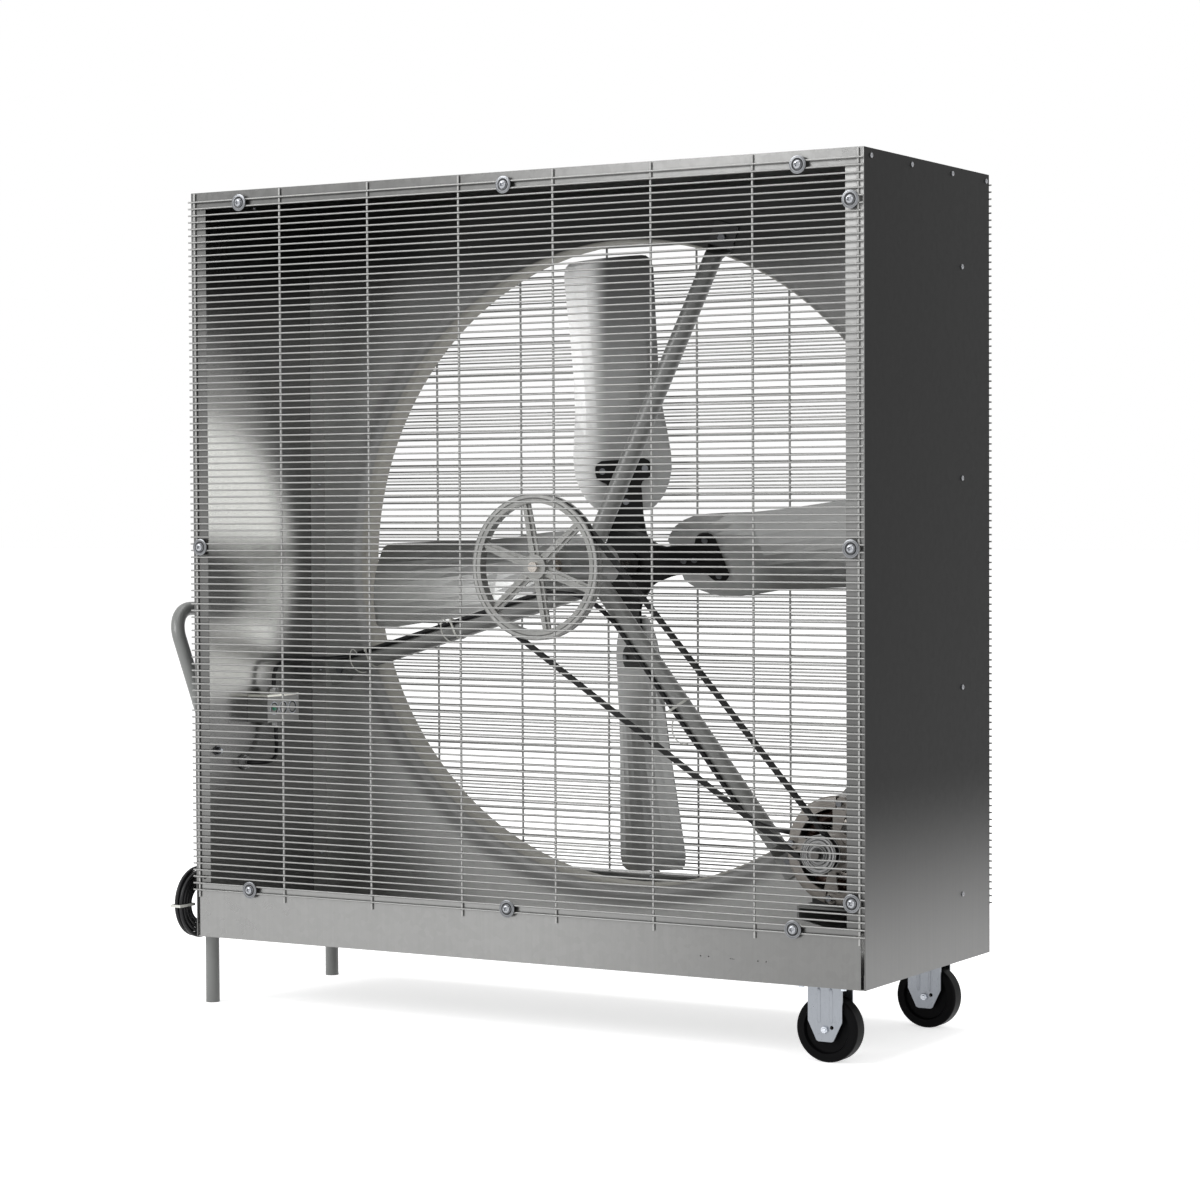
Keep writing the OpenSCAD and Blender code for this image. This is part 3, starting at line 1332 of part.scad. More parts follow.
side_panel_left();
side_panel_right();
top_panel();
bottom_panel();
orifice_panel();
front_guard();
rear_guard();
guard_washers();
guard_screws();
guard_nuts();
panel_screws();
leg_handle_tube();
leg_bolts();
leg_nuts();
caster_fork_front();
caster_fork_rear();
caster_bolts();
caster_axles();
wheel_front();
wheel_rear();
wheel_bush_front();
wheel_bush_rear();
arm_top();
arm_left();
arm_lower();
arm_bolts();
bearing_housing();
bearing_front();
bearing_rear();
fan_shaft();
drive_pulley();
pulley_set_screw();
prop_spider();
blade_1();
blade_2();
blade_3();
blade_4();
blade_bolts();
drive_belt();
motor_shell();
motor_front_bell();
motor_rear_bell();
motor_bolts();
motor_stator();
motor_rotor();
motor_pulley();
motor_foot();
motor_bracket();
motor_bracket_bolts();
conduit_box();
switch_box();
switch_body();
switch_plate();
switch_toggle();
cable_clamps();
motor_cable();
supply_cord();
cord_coil();
plug();
cable_ties();
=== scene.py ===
"""Looks of a portable blower fan: galvanised cabinet, wire guards, cast and painted drive, cords, studio."""

import math

import bpy
import numpy as np
from mathutils import Matrix, Vector


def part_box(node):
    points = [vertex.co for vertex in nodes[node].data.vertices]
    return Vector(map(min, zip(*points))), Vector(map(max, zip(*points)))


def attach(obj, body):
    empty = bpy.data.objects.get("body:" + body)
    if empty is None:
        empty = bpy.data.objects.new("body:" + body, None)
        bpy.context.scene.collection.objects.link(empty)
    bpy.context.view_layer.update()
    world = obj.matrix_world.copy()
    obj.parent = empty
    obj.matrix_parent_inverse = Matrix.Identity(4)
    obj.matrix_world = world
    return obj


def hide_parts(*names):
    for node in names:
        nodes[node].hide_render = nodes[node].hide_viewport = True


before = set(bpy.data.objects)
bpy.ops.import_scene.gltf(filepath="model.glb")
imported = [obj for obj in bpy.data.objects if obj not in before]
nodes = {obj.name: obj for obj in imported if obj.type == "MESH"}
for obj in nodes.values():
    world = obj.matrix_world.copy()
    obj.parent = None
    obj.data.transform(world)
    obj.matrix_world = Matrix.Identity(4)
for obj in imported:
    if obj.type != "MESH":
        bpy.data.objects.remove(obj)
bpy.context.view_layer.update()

# The cabinet's own frame, in millimetres: X = 0 its middle, Y = 0 its front face, Z = 0 its underside
CABINET_ORIGIN = np.array([0.0593517, -0.263, 0.136])
HALF_W, DEPTH, HEIGHT = 706.0, 526.0, 1416.0
SHAFT_Z = 708.0
MOTOR_X, MOTOR_Y, MOTOR_Z = 573.0, 155.0, 214.0
BOX_FACE_X, BOX_Y, BOX_Z, BOX_HALF_H = -657.4, 216.0, 427.0, 27.0
BOX_TOP = (BOX_Z + BOX_HALF_H) / 1000 + CABINET_ORIGIN[2]


def at(points):
    """Cabinet millimetres to metres in the object's frame: divide by 1000 and add the cabinet's place."""
    return np.asarray(points, float) / 1000 + CABINET_ORIGIN


# ---------- Camera ----------

def photo_camera():
    """A long lens at the photograph's place: turned by yaw, tipped down by pitch, rolled a little."""
    stand, focal = (2.996395, -4.931121, 0.943944), 92.334
    yaw, pitch, roll = 0.53159, 0.028659, -0.004537
    ahead = np.array([-math.sin(yaw), math.cos(yaw), 0.0])
    right = np.array([math.cos(yaw), math.sin(yaw), 0.0])
    up = np.array([0.0, 0.0, 1.0])
    down_line = ahead * math.cos(pitch) - up * math.sin(pitch)
    lifted = up * math.cos(pitch) + ahead * math.sin(pitch)
    x_axis = right * math.cos(roll) + lifted * math.sin(roll)
    y_axis = -right * math.sin(roll) + lifted * math.cos(roll)
    lens = bpy.data.cameras.new("photo_lens")
    lens.sensor_width, lens.lens = 36.0, focal
    lens.clip_start, lens.clip_end = 0.1, 200
    camera = bpy.data.objects.new("photo_camera", lens)
    bpy.context.collection.objects.link(camera)
    columns = np.stack([x_axis, y_axis, -down_line], 1)
    pose = Matrix([list(row) for row in columns]).to_4x4()
    pose.translation = stand
    camera.matrix_world = pose
    bpy.context.scene.camera = camera


photo_camera()


# ---------- Shader graph ----------

class Signal:
    """A socket in a finish; arithmetic on it adds Math nodes."""

    def __init__(self, finish, socket):
        self.finish, self.socket = finish, socket

    def maths(self, operation, *values):
        """A Math node on the values."""
        return self.finish.node("ShaderNodeMath", {"operation": operation}, dict(enumerate(values)))

    def __add__(self, other):
        return self.maths("ADD", self, other)

    def __sub__(self, other):
        return self.maths("SUBTRACT", self, other)

    def __rsub__(self, other):
        return self.maths("SUBTRACT", other, self)

    def __mul__(self, other):
        return self.maths("MULTIPLY", self, other)

    def __gt__(self, other):
        return self.maths("GREATER_THAN", self, other)

    __radd__, __rmul__ = __add__, __mul__

    def span(self, low, high, to_low=0.0, to_high=1.0):
        """Smoothly from to_low where the signal is low, to to_high where it is high."""
        return self.finish.node("ShaderNodeMapRange", {"interpolation_type": "SMOOTHSTEP"},
                                {0: self, 1: low, 2: high, 3: to_low, 4: to_high})


class Finish:
    """One material, or the surroundings, built from nodes."""

    def __init__(self, name, collection=None):
        if collection is None:
            collection = bpy.data.materials
        self.material = collection.new(name)
        self.material.use_nodes = True
        self.tree = self.material.node_tree
        self.tree.nodes.clear()

    def node(self, kind, settings=None, values=None, out=0):
        """A node of one kind, with its settings, then the values or links of its sockets; out picks the output."""
        made = self.tree.nodes.new(kind)
        for key, value in (settings or {}).items():
            setattr(made, key, value)
        for key, value in (values or {}).items():
            socket = made.inputs[key]
            if isinstance(value, Signal):
                self.tree.links.new(value.socket, socket)
            elif socket.type == "RGBA" and len(value) == 3:
                socket.default_value = (*value, 1.0)
            else:
                socket.default_value = value
        return None if out is None else Signal(self, made.outputs[out])

    def place(self, scale=(1, 1, 1), turn=(0, 0, 0), shift=(0, 0, 0)):
        """The place on the object, scaled, turned and shifted."""
        spot = self.node("ShaderNodeTexCoord", out="Object")
        return self.node("ShaderNodeMapping", None, {"Vector": spot, "Location": shift, "Rotation": turn,
                                                     "Scale": scale})

    def along(self, axis):
        """The place along X, Y or Z; for R the distance from the fan shaft's line; for an oval, given as its middle
        and its three half lengths in cabinet millimetres, the distance from the middle in half lengths, where None
        leaves an axis out."""
        if axis == "R":
            axis = ((0, 0, SHAFT_Z), (1000, None, 1000))
        if isinstance(axis, tuple):
            middle = at(axis[0])
            scale = [1000 / half if half else 0.0 for half in axis[1]]
            flat = self.place(tuple(scale), shift=tuple(-m * k for m, k in zip(middle, scale)))
            return self.node("ShaderNodeVectorMath", {"operation": "LENGTH"}, {0: flat}, out="Value")
        spot = self.node("ShaderNodeTexCoord", out="Object")
        return self.node("ShaderNodeSeparateXYZ", None, {0: spot}, out=axis)

    def noise(self, vector, scale, detail, rough):
        """Cloudy noise from 0 to 1."""
        return self.node("ShaderNodeTexNoise", None, {"Vector": vector, "Scale": scale, "Detail": detail,
                                                      "Roughness": rough}, out="Fac")

    def cells(self, vector, scale, out="Distance"):
        """Cells round scattered points: the distance to the nearest point, or the cell's own random colour."""
        return self.node("ShaderNodeTexVoronoi", None, {"Vector": vector, "Scale": scale}, out=out)

    def mix(self, share, first, second):
        """The first colour where the share is 0, the second where it is 1."""
        return self.node("ShaderNodeMix", {"data_type": "RGBA"}, {0: share, 6: first, 7: second}, out=2)

    def tint(self, colour, amount):
        """The colour times the amount."""
        return self.node("ShaderNodeVectorMath", {"operation": "SCALE"}, {0: colour, "Scale": amount})

    def zoned(self, tone, shade, zones):
        """The tone times the shade; each zone (tone, axis, from, to, ...) goes over to its tone between the two
        places on the axis, and where it names more axes, only where all of them agree."""
        colour = self.tint(tone, shade)
        for zone_tone, *spans in zones:
            share = None
            for axis, low, high in zip(spans[::3], spans[1::3], spans[2::3]):
                inside = self.along(axis).span(low, high)
                share = inside if share is None else inside * share
            colour = self.mix(share, colour, self.tint(zone_tone, shade))
        return colour

    def bump(self, height, distance, strength):
        """A relief as a normal."""
        return self.node("ShaderNodeBump", None, {"Height": height, "Distance": distance, "Strength": strength})

    def surface(self, **values):
        """Ends the material with its shader, whose sockets are named with underscores for spaces."""
        named = {key.replace("_", " "): value for key, value in values.items()}
        shader = self.node("ShaderNodeBsdfPrincipled", None, named)
        self.node("ShaderNodeOutputMaterial", None, {"Surface": shader}, None)
        return self.material


def galvanised(name, tone, rough=0.3, metal=0.92, spangle=0.07, grain=0.06, zones=(), streak_way=(170, 170, 2.4),
               scuffs=0.03, clouds=0.2, rim=1.0, matt=None):
    """Zinc-coated sheet: faint crystals of the coating, streaks of the rolled grain, soft clouds, a few scuffs.
    Matt is (axis, from, to, amount): the roughness rises by the amount between the two places."""
    f = Finish(name)
    crystal = f.node("ShaderNodeSeparateColor", None, {0: f.cells(f.place(), 85, out="Color")}, out=0)
    streak = f.noise(f.place(streak_way), 1.0, 4, 0.65)
    fine = f.noise(f.place(tuple(4.5 * c for c in streak_way)), 1.0, 2, 0.6)
    cloud = f.noise(f.place(), 2.2, 4, 0.55)
    scuff = f.noise(f.place((5, 5, 60), (0.5, 0.3, 0.1)), 1.0, 5, 0.7).span(0.64, 0.78)
    shade = (1.0 + (crystal - 0.5) * spangle + (streak - 0.5) * grain * 2 + (fine - 0.5) * grain
             + (cloud - 0.5) * clouds + scuff * scuffs)
    colour = f.zoned(tone, shade, zones)
    roughness = rough + (cloud - 0.5) * 0.1 + (crystal - 0.5) * 0.04 + scuff * scuffs
    if matt:
        roughness = roughness + f.along(matt[0]).span(matt[1], matt[2], 0.0, matt[3])
    relief = f.bump(streak * 0.6 + fine * 0.4, 0.0001, 0.1)
    return f.surface(Base_Color=colour, Roughness=roughness, Metallic=metal, Normal=relief,
                     Specular_Tint=(rim, rim, rim))


def bright_zinc(name, tone=(0.62, 0.65, 0.69), rough=0.27, blotch=0.22, metal=0.95, zones=()):
    """Plated fasteners and brackets: cool bright metal with faint blotches and fine draw marks."""
    f = Finish(name)
    cloud = f.noise(f.place(), 60, 4, 0.6)
    marks = f.noise(f.place((700, 700, 60), (0.2, 0.9, 0.4)), 1.0, 3, 0.6)
    worn = f.noise(f.place(), 260, 5, 0.65).span(0.58, 0.7)
    shade = 1.0 + (cloud - 0.5) * blotch + (marks - 0.5) * 0.16 - worn * 0.14
    return f.surface(Base_Color=f.zoned(tone, shade, zones), Roughness=rough + (cloud - 0.5) * 0.16 + worn * 0.12,
                     Metallic=metal, Normal=f.bump(marks, 0.0002, 0.3))


def raw_casting(name, tone=(0.56, 0.56, 0.55), pit=0.5, rough=0.42, metal=0.85, zones=()):
    """Cast metal as it left the mould: grainy skin, small pits, darker stains, bright rubbed spots."""
    f = Finish(name)
    skin = f.noise(f.place(), 520, 6, 0.62)
    stain = f.noise(f.place(), 34, 5, 0.6)
    pits = f.cells(f.place(), 420).span(0.0, 0.28)
    rubbed = f.noise(f.place(), 90, 4, 0.6).span(0.55, 0.68)
    shade = 0.84 + (skin - 0.5) * 0.3 + (stain - 0.5) * 0.6 + pits * 0.12 + rubbed * 0.22
    relief = f.bump(skin * 0.7 + pits * 0.3, 0.0009, pit)
    return f.surface(Base_Color=f.zoned(tone, shade, zones), Roughness=rough + (skin - 0.5) * 0.25 - rubbed * 0.1,
                     Metallic=metal, Normal=relief)


def turned_steel(name, tone=(0.56, 0.52, 0.48), rough=0.26, metal=0.95):
    """Machined bar and rings: fine turning lines round the Y axis, a few stains."""
    f = Finish(name)
    lines = f.noise(f.place((30, 2600, 30)), 1.0, 2, 0.6)
    stain = f.noise(f.place(), 70, 4, 0.6)
    shade = 1.0 + (lines - 0.5) * 0.3 + (stain - 0.5) * 0.4
    return f.surface(Base_Color=f.tint(tone, shade), Roughness=rough + (stain - 0.5) * 0.2,
                     Metallic=metal, Normal=f.bump(lines, 0.0002, 0.25))


def enamel(name, tone, rough=0.42, peel=0.35, dust=0.12, coat=0.15, worn_tone=None, shine=0.5, zones=()):
    """Sprayed paint: orange-peel skin, dusty clouds, rare chips."""
    f = Finish(name)
    skin = f.noise(f.place(), 640, 3, 0.55)
    cloud = f.noise(f.place(), 9, 4, 0.6)
    speck = f.noise(f.place(), 900, 2, 0.5)
    shade = 1.0 + (cloud - 0.5) * dust * 2 + (speck - 0.5) * dust
    colour = f.zoned(tone, shade, zones)
    if worn_tone is not None:
        colour = f.mix(f.noise(f.place(), 48, 6, 0.7).span(0.66, 0.72), colour, worn_tone)
    return f.surface(Base_Color=colour, Roughness=rough + (cloud - 0.5) * 0.16 + (skin - 0.5) * 0.1, Metallic=0.0,
                     Coat_Weight=coat, Specular_IOR_Level=shine, Normal=f.bump(skin, 0.0006, peel))


def moulded(name, tone, rough=0.5, grain=0.3, scale=900, dust=0.1, shine=0.5):
    """Rubber and plastic: close matt grain, faint dust and scuffs."""
    f = Finish(name)
    close = f.noise(f.place(), scale, 4, 0.6)
    cloud = f.noise(f.place(), 26, 4, 0.6)
    scuff = f.noise(f.place((40, 160, 90), (0.4, 0.8, 0.2)), 1.0, 5, 0.7).span(0.6, 0.74)
    shade = 1.0 + (cloud - 0.5) * dust * 2 + (close - 0.5) * dust
    colour = f.mix(scuff * 0.35, f.tint(tone, shade), tuple(min(1.0, c * 2.2 + 0.01 * shine) for c in tone))
    return f.surface(Base_Color=colour, Roughness=rough + (cloud - 0.5) * 0.16 + scuff * 0.12,
                     Specular_IOR_Level=shine, Normal=f.bump(close, 0.0005, grain))


finishes = {
    # The plain sheet, on the bottom panel and the switch plate, is painted darker towards the right: a painted shade
    "galvanised_sheet": galvanised("galvanised_sheet", (0.25, 0.25, 0.246), zones=[
        ((0.165, 0.165, 0.162), "X", 0.0, 0.72)]),
    # Guard wire is painted lighter behind the front wires' plane, on the front guard's bars and on the rear guard: a
    # painted light
    "guard_wire": bright_zinc("guard_wire", (0.245, 0.245, 0.24), 0.42, 0.25, 0.7, zones=[
        ((0.36, 0.36, 0.353), "Y", -0.2674, -0.2672)]),
    "zinc_fasteners": bright_zinc("zinc_fasteners", (0.60, 0.63, 0.68)),
    "zinc_plate": bright_zinc("zinc_plate", (0.27, 0.285, 0.31), 0.3, 0.12),
    "die_cast_zinc": raw_casting("die_cast_zinc", (0.36, 0.36, 0.36), 0.3, 0.36),
    "leg_paint": enamel("leg_paint", (0.17, 0.175, 0.17), 0.42),
    "wheel_rubber": moulded("wheel_rubber", (0.003, 0.003, 0.0034), 0.4, 0.15, dust=0.06, shine=0.05),
    "machined_steel": turned_steel("machined_steel"),
    # Frame paint is painted lighter right of the shaft and below it, on the lower arm and the motor bracket: a
    # painted light; its worn tone is real wear
    "frame_paint": enamel("frame_paint", (0.20, 0.202, 0.197), 0.4, worn_tone=(0.30, 0.30, 0.29), zones=[
        ((0.27, 0.272, 0.265), "X", 0.05, 0.15, "Z", 0.82, 0.72)]),
    # The drive pulley's rim gets rings of painted shade and a painted highlight, standing for its groove and flange
    "pulley_casting": raw_casting("pulley_casting", (0.30, 0.30, 0.29), zones=[
        ((0.12, 0.12, 0.116), "R", 0.1238, 0.1243), ((0.36, 0.36, 0.35), "R", 0.1262, 0.1267),
        ((0.20, 0.20, 0.195), "R", 0.1310, 0.1316)]),
    "spider_paint": enamel("spider_paint", (0.006, 0.006, 0.006), 0.4, coat=0.0, worn_tone=(0.02, 0.02, 0.02),
                           shine=0.15),
    # The blades are painted lighter towards the hub: a painted light on their roots
    "blade_sheet": galvanised("blade_sheet", (0.29, 0.292, 0.288), 0.36, 0.75, 0.05, 0.04, streak_way=(60, 60, 60),
                              clouds=0.12, zones=[((0.50, 0.502, 0.498), "R", 0.32, 0.20)]),
    "belt_rubber": moulded("belt_rubber", (0.012, 0.012, 0.012), 0.6, 0.5, 1500, shine=0.25),
    "motor_paint": enamel("motor_paint", (0.30, 0.275, 0.25), 0.4, worn_tone=(0.18, 0.17, 0.16)),
    "motor_dark_paint": enamel("motor_dark_paint", (0.018, 0.018, 0.018), 0.45),
    "switch_plastic": moulded("switch_plastic", (0.68, 0.66, 0.60), 0.4, 0.1),
    "toggle_plastic": moulded("toggle_plastic", (0.012, 0.012, 0.012), 0.35, 0.1),
    "cord_jacket": moulded("cord_jacket", (0.008, 0.008, 0.009), 0.4, 0.25, 1200, shine=0.3),
    "plug_vinyl": moulded("plug_vinyl", (0.012, 0.012, 0.013), 0.4, 0.2),
    "tie_nylon": moulded("tie_nylon", (0.62, 0.62, 0.58), 0.4, 0.1),
}
# A span that takes in only the outer face of a side panel's front flange
front_face = ("Y", -0.2611, -0.2617)
# Painted light and shade on the right panel: its outer face is painted nearly black, growing lighter towards the
# bottom; its inner face keeps a plain sheet tone; its front flange is painted darker, lighter towards the top
side_outside = galvanised("side_panel_outside", (0.022, 0.022, 0.022), 0.36, 1.0, 0.05, 0.08, rim=0.7, zones=[
    ((0.225, 0.225, 0.223), "Z", 0.50, 0.10), ((0.28, 0.28, 0.275), "X", 0.7650, 0.7645),
    ((0.12, 0.12, 0.118), *front_face),
    ((0.34, 0.34, 0.335), *front_face, "Z", 0.6, 1.4)])
# Painted light and shade on the left panel: its inner wall carries the lit throat as a painted bright oval, with
# painted shade on the shaft's own side of it, at the top and low down; its outer face and its front flange are
# painted darker
side_inside = galvanised("side_panel_inside", (0.21, 0.21, 0.206), 0.24, 0.9, 0.04, 0.05, clouds=0.12, zones=[
    ((0.060, 0.060, 0.058), "Z", 1.25, 1.41),
    ((0.33, 0.33, 0.318), ((-704, -20, 745), (None, 280, 360)), 1.2, 0.7),
    ((0.92, 0.925, 0.89), ((-704, -20, 710), (None, 330, 290)), 1.14, 0.80),
    ((0.25, 0.25, 0.246), ((-704, 5, 655), (None, 165, 95)), 1.3, 0.6),
    ((0.60, 0.60, 0.575), ((-704, 40, 530), (None, 190, 70)), 1.25, 0.7),
    ((0.22, 0.22, 0.216), "Z", 0.64, 0.56), ((0.10, 0.10, 0.10), "X", -0.6455, -0.6463),
    ((0.15, 0.15, 0.147), *front_face)])
# Painted shade on the orifice panel: a darker band on the roll round the throat, darker towards the left, and
# darkening to near black towards the top; the throat's inner wall is cream
orifice_face = galvanised("orifice_face", (0.52, 0.52, 0.512), 0.34, 0.85, 0.04, 0.05, clouds=0.12,
                          matt=("R", 0.80, 0.66, 0.36), zones=[
    ((0.26, 0.26, 0.256), "R", 0.672, 0.642), ((0.36, 0.36, 0.355), "X", -0.47, -0.60),
    ((0.26, 0.26, 0.256), "Z", 1.14, 1.34), ((0.05, 0.05, 0.049), "Z", 1.35, 1.46),
    ((0.40, 0.39, 0.36), "R", 0.6200, 0.6165)])
# The upward blade: painted shade darkening towards its tip at the top, and a near-white painted highlight over its
# left part
top_blade_painted_light = galvanised("top_blade_painted_light", (0.31, 0.312, 0.308), 0.42, 0.4, 0.04, 0.03, streak_way=(60, 60, 60),
                          clouds=0.08, zones=[
    ((0.085, 0.085, 0.085), "Z", 1.14, 1.42), ((0.99, 0.99, 0.985), "X", 0.022, -0.026)])
# The switch box's top edge, its top 4 mm, is painted near white: a painted highlight
box_sheet = galvanised("switch_box_sheet", (0.24, 0.24, 0.235), 0.3, 0.8, 0.12, 0.05, zones=[
    ((0.98, 0.96, 0.88), "Z", BOX_TOP - 0.0044, BOX_TOP - 0.0036)])
dark_gap = moulded("dark_gap", (0.006, 0.006, 0.006), 0.6, shine=0.1)
washer_face = bright_zinc("washer_face", (0.20, 0.205, 0.215), 0.35, 0.5)
# The dish ring of a guard washer is painted near black: a painted reflection of dark surroundings
washer_dish = bright_zinc("washer_dish", (0.035, 0.036, 0.038), 0.4, 0.5, 0.8)
screw_zinc = bright_zinc("screw_zinc", (0.34, 0.35, 0.37), 0.3, 0.4)
# A darker and rougher copy of the zinc, for the blade, motor and arm bolts and the leg nuts: its darkness is a
# painted shade
dull_zinc_painted_shade = bright_zinc("dull_zinc_painted_shade", (0.17, 0.175, 0.185), 0.36, 0.4)
panel_zinc = bright_zinc("panel_zinc", (0.30, 0.305, 0.32), 0.33, 0.4)
# The top arm's upper end is painted near black: a painted shade where it reaches the dark top of the cabinet
arm_shaded = enamel("arm_shaded", (0.20, 0.202, 0.197), 0.4, worn_tone=(0.30, 0.30, 0.29), zones=[
    ((0.015, 0.015, 0.015), "Z", 1.39, 1.45)])
# The motor rotor's turned steel is painted much darker: a painted shade
shaft_end = turned_steel("shaft_end", (0.12, 0.115, 0.11), 0.4)
# The top panel is painted dark on the left and lighter towards the right: painted shade
top_sheet = galvanised("top_sheet", (0.112, 0.112, 0.11), rim=0.45, zones=[((0.25, 0.25, 0.246), "X", -0.2, 0.62)])
# Rings of painted shade and painted light on the motor pulley, standing for its turned steps: (radius in mm, tone
# inside it)
PULLEY_RINGS = [(33.0, 0.10), (30.5, 0.30), (27.0, 0.09), (24.5, 0.27), (19.5, 0.08), (17.5, 0.25), (13.0, 0.06)]
motor_line = ((MOTOR_X, MOTOR_Y, MOTOR_Z), (1, None, 1))
small_pulley = raw_casting("small_pulley", (0.24, 0.24, 0.235), 0.3, zones=[
    ((tone, tone, tone), motor_line, radius, radius - 0.5) for radius, tone in PULLEY_RINGS])
seal_rubber = moulded("seal_rubber", (0.016, 0.016, 0.016), 0.5)
copper_wire = bright_zinc("copper_wire", (0.035, 0.016, 0.010), 0.45, 0.4, 0.5)
ground_green = enamel("ground_green", (0.03, 0.28, 0.16), 0.35)


# ---------- Surfaces ----------

def grid_faces(rows, columns, wrap_rows=False):
    """Quads between neighbouring rows and columns of a grid, counted row by row; every row closes on itself."""
    i = np.arange(rows if wrap_rows else rows - 1)[:, None]
    j = np.arange(columns)[None, :]
    down, on = (i + 1) % rows, (j + 1) % columns
    return np.stack([i * columns + j, i * columns + on, down * columns + on, down * columns + j], -1).reshape(-1, 4)


def closed(rows, sides):
    """The faces of a stack of rings: the quads between them, one face under the first and one over the last."""
    cap = np.arange(sides)[None]
    return [grid_faces(rows, sides), cap[:, ::-1], (rows - 1) * sides + cap]


def material_of(finish):
    """The material of a finish, given by its name or as itself."""
    return finishes[finish] if isinstance(finish, str) else finish


def make_piece(name, corners, faces, finish, body="cabinet", slot=None, sharp=32.0):
    """A mesh object from an array of corners and arrays of faces; it rides on a CAD body."""
    faces = [np.asarray(f, int) for f in faces]
    mesh = bpy.data.meshes.new(name)
    corners = np.asarray(corners, float).reshape(-1, 3)
    loops = np.concatenate([f.ravel() for f in faces])
    counts = np.concatenate([np.full(len(f), f.shape[1]) for f in faces])
    mesh.vertices.add(len(corners))
    mesh.vertices.foreach_set("co", corners.astype(np.float32).ravel())
    mesh.loops.add(len(loops))
    mesh.loops.foreach_set("vertex_index", loops.astype(np.int32))
    mesh.polygons.add(len(counts))
    mesh.polygons.foreach_set("loop_start", np.concatenate([[0], np.cumsum(counts)[:-1]]).astype(np.int32))
    mesh.polygons.foreach_set("use_smooth", np.ones(len(counts), bool))
    mesh.update(calc_edges=True)
    mesh.validate()
    mesh.set_sharp_from_angle(angle=math.radians(sharp))
    made = bpy.data.objects.new(name, mesh)
    bpy.context.collection.objects.link(made)
    mesh.materials.append(material_of(finish))
    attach(made, body)
    return made


def eased(points, per=6):
    """A Catmull-Rom curve through the points: cubic pieces whose slope at a point is half its neighbours' span."""
    p = np.asarray(points, float)
    q = np.concatenate([p[:1], p, p[-1:]])
    a, b, c, d = q[:-3, None], q[1:-2, None], q[2:-1, None], q[3:, None]
    t = np.arange(per)[None, :, None] / per
    line = 0.5 * (2 * b + (c - a) * t + (2 * a - 5 * b + 4 * c - d) * t ** 2 + (3 * b - a - 3 * c + d) * t ** 3)
    return np.concatenate([line.reshape(-1, 3), p[-1:]])


def tube(path, radius, lean, sides=14):
    """Rings round a path. Way is the path's unit direction, side is lean less its part along the way, made unit; a
    ring is radius (cos side + sin (way x side))."""
    way = np.gradient(path, axis=0)
    way /= np.linalg.norm(way, axis=1, keepdims=True)
    lean = np.asarray(lean, float)
    side = lean - (way @ lean)[:, None] * way
    side /= np.linalg.norm(side, axis=1, keepdims=True)
    turn = np.linspace(0, 2 * np.pi, sides, endpoint=False)[None, :, None]
    radius = np.broadcast_to(np.asarray(radius, float), (len(path),))[:, None, None]
    rings = path[:, None] + radius * (np.cos(turn) * side[:, None] + np.sin(turn) * np.cross(way, side)[:, None])
    return rings.reshape(-1, 3), closed(len(path), sides)


# Columns of a turn: where a shape's X, Y and Z point when its Z faces out of one side of the cabinet
FRONT = np.array([[1, 0, 0], [0, 0, -1], [0, 1, 0]])
BACK = np.array([[-1, 0, 0], [0, 0, 1], [0, 1, 0]])
RIGHT = np.array([[0, 0, 1], [1, 0, 0], [0, 1, 0]])
LEFT = np.array([[0, 0, -1], [-1, 0, 0], [0, 1, 0]])
UP = np.eye(3)


def copies(shape, places, ways, spins=0.0):
    """Copies of a shape: each spun about its own Z, turned so that Z faces its way, and moved to its place."""
    corners, faces = shape
    places = np.asarray(places, float).reshape(-1, 3)
    count = len(places)
    ways = np.broadcast_to(np.asarray(ways, float), (count, 3, 3))
    a = np.radians(np.broadcast_to(spins, (count,)))
    spin = np.zeros((count, 3, 3))
    spin[:, 0, 0] = spin[:, 1, 1] = np.cos(a)
    spin[:, 0, 1], spin[:, 1, 0], spin[:, 2, 2] = -np.sin(a), np.sin(a), 1
    out = np.einsum("kij,kjl,nl->kni", ways, spin, corners) + places[:, None]
    step = (np.arange(count) * len(corners))[:, None, None]
    return out.reshape(-1, 3), [(np.asarray(f)[None] + step).reshape(-1, np.asarray(f).shape[1]) for f in faces]


def placed(shape):
    """A shape in cabinet millimetres, as corners in the object's frame and faces."""
    corners, faces = shape
    return at(corners), faces


def joined(*shapes):
    """Several shapes as one: their corners in a row, each one's faces counted on."""
    corners = np.concatenate([c for c, _ in shapes])
    start = np.cumsum([0] + [len(c) for c, _ in shapes[:-1]])
    return corners, [np.asarray(f) + s for (_, faces), s in zip(shapes, start) for f in faces]


def turned(profile, sides=36, ring=False):
    """A profile of (radius, height) carried round Z; ends are closed flat, or the profile closes on itself."""
    profile = np.asarray(profile, float)
    turn = np.linspace(0, 2 * np.pi, sides, endpoint=False)
    x, y = profile[:, :1] * np.cos(turn), profile[:, :1] * np.sin(turn)
    corners = np.stack([x, y, np.broadcast_to(profile[:, 1:], x.shape)], -1).reshape(-1, 3)
    rows = len(profile)
    return corners, [grid_faces(rows, sides, wrap_rows=True)] if ring else closed(rows, sides)


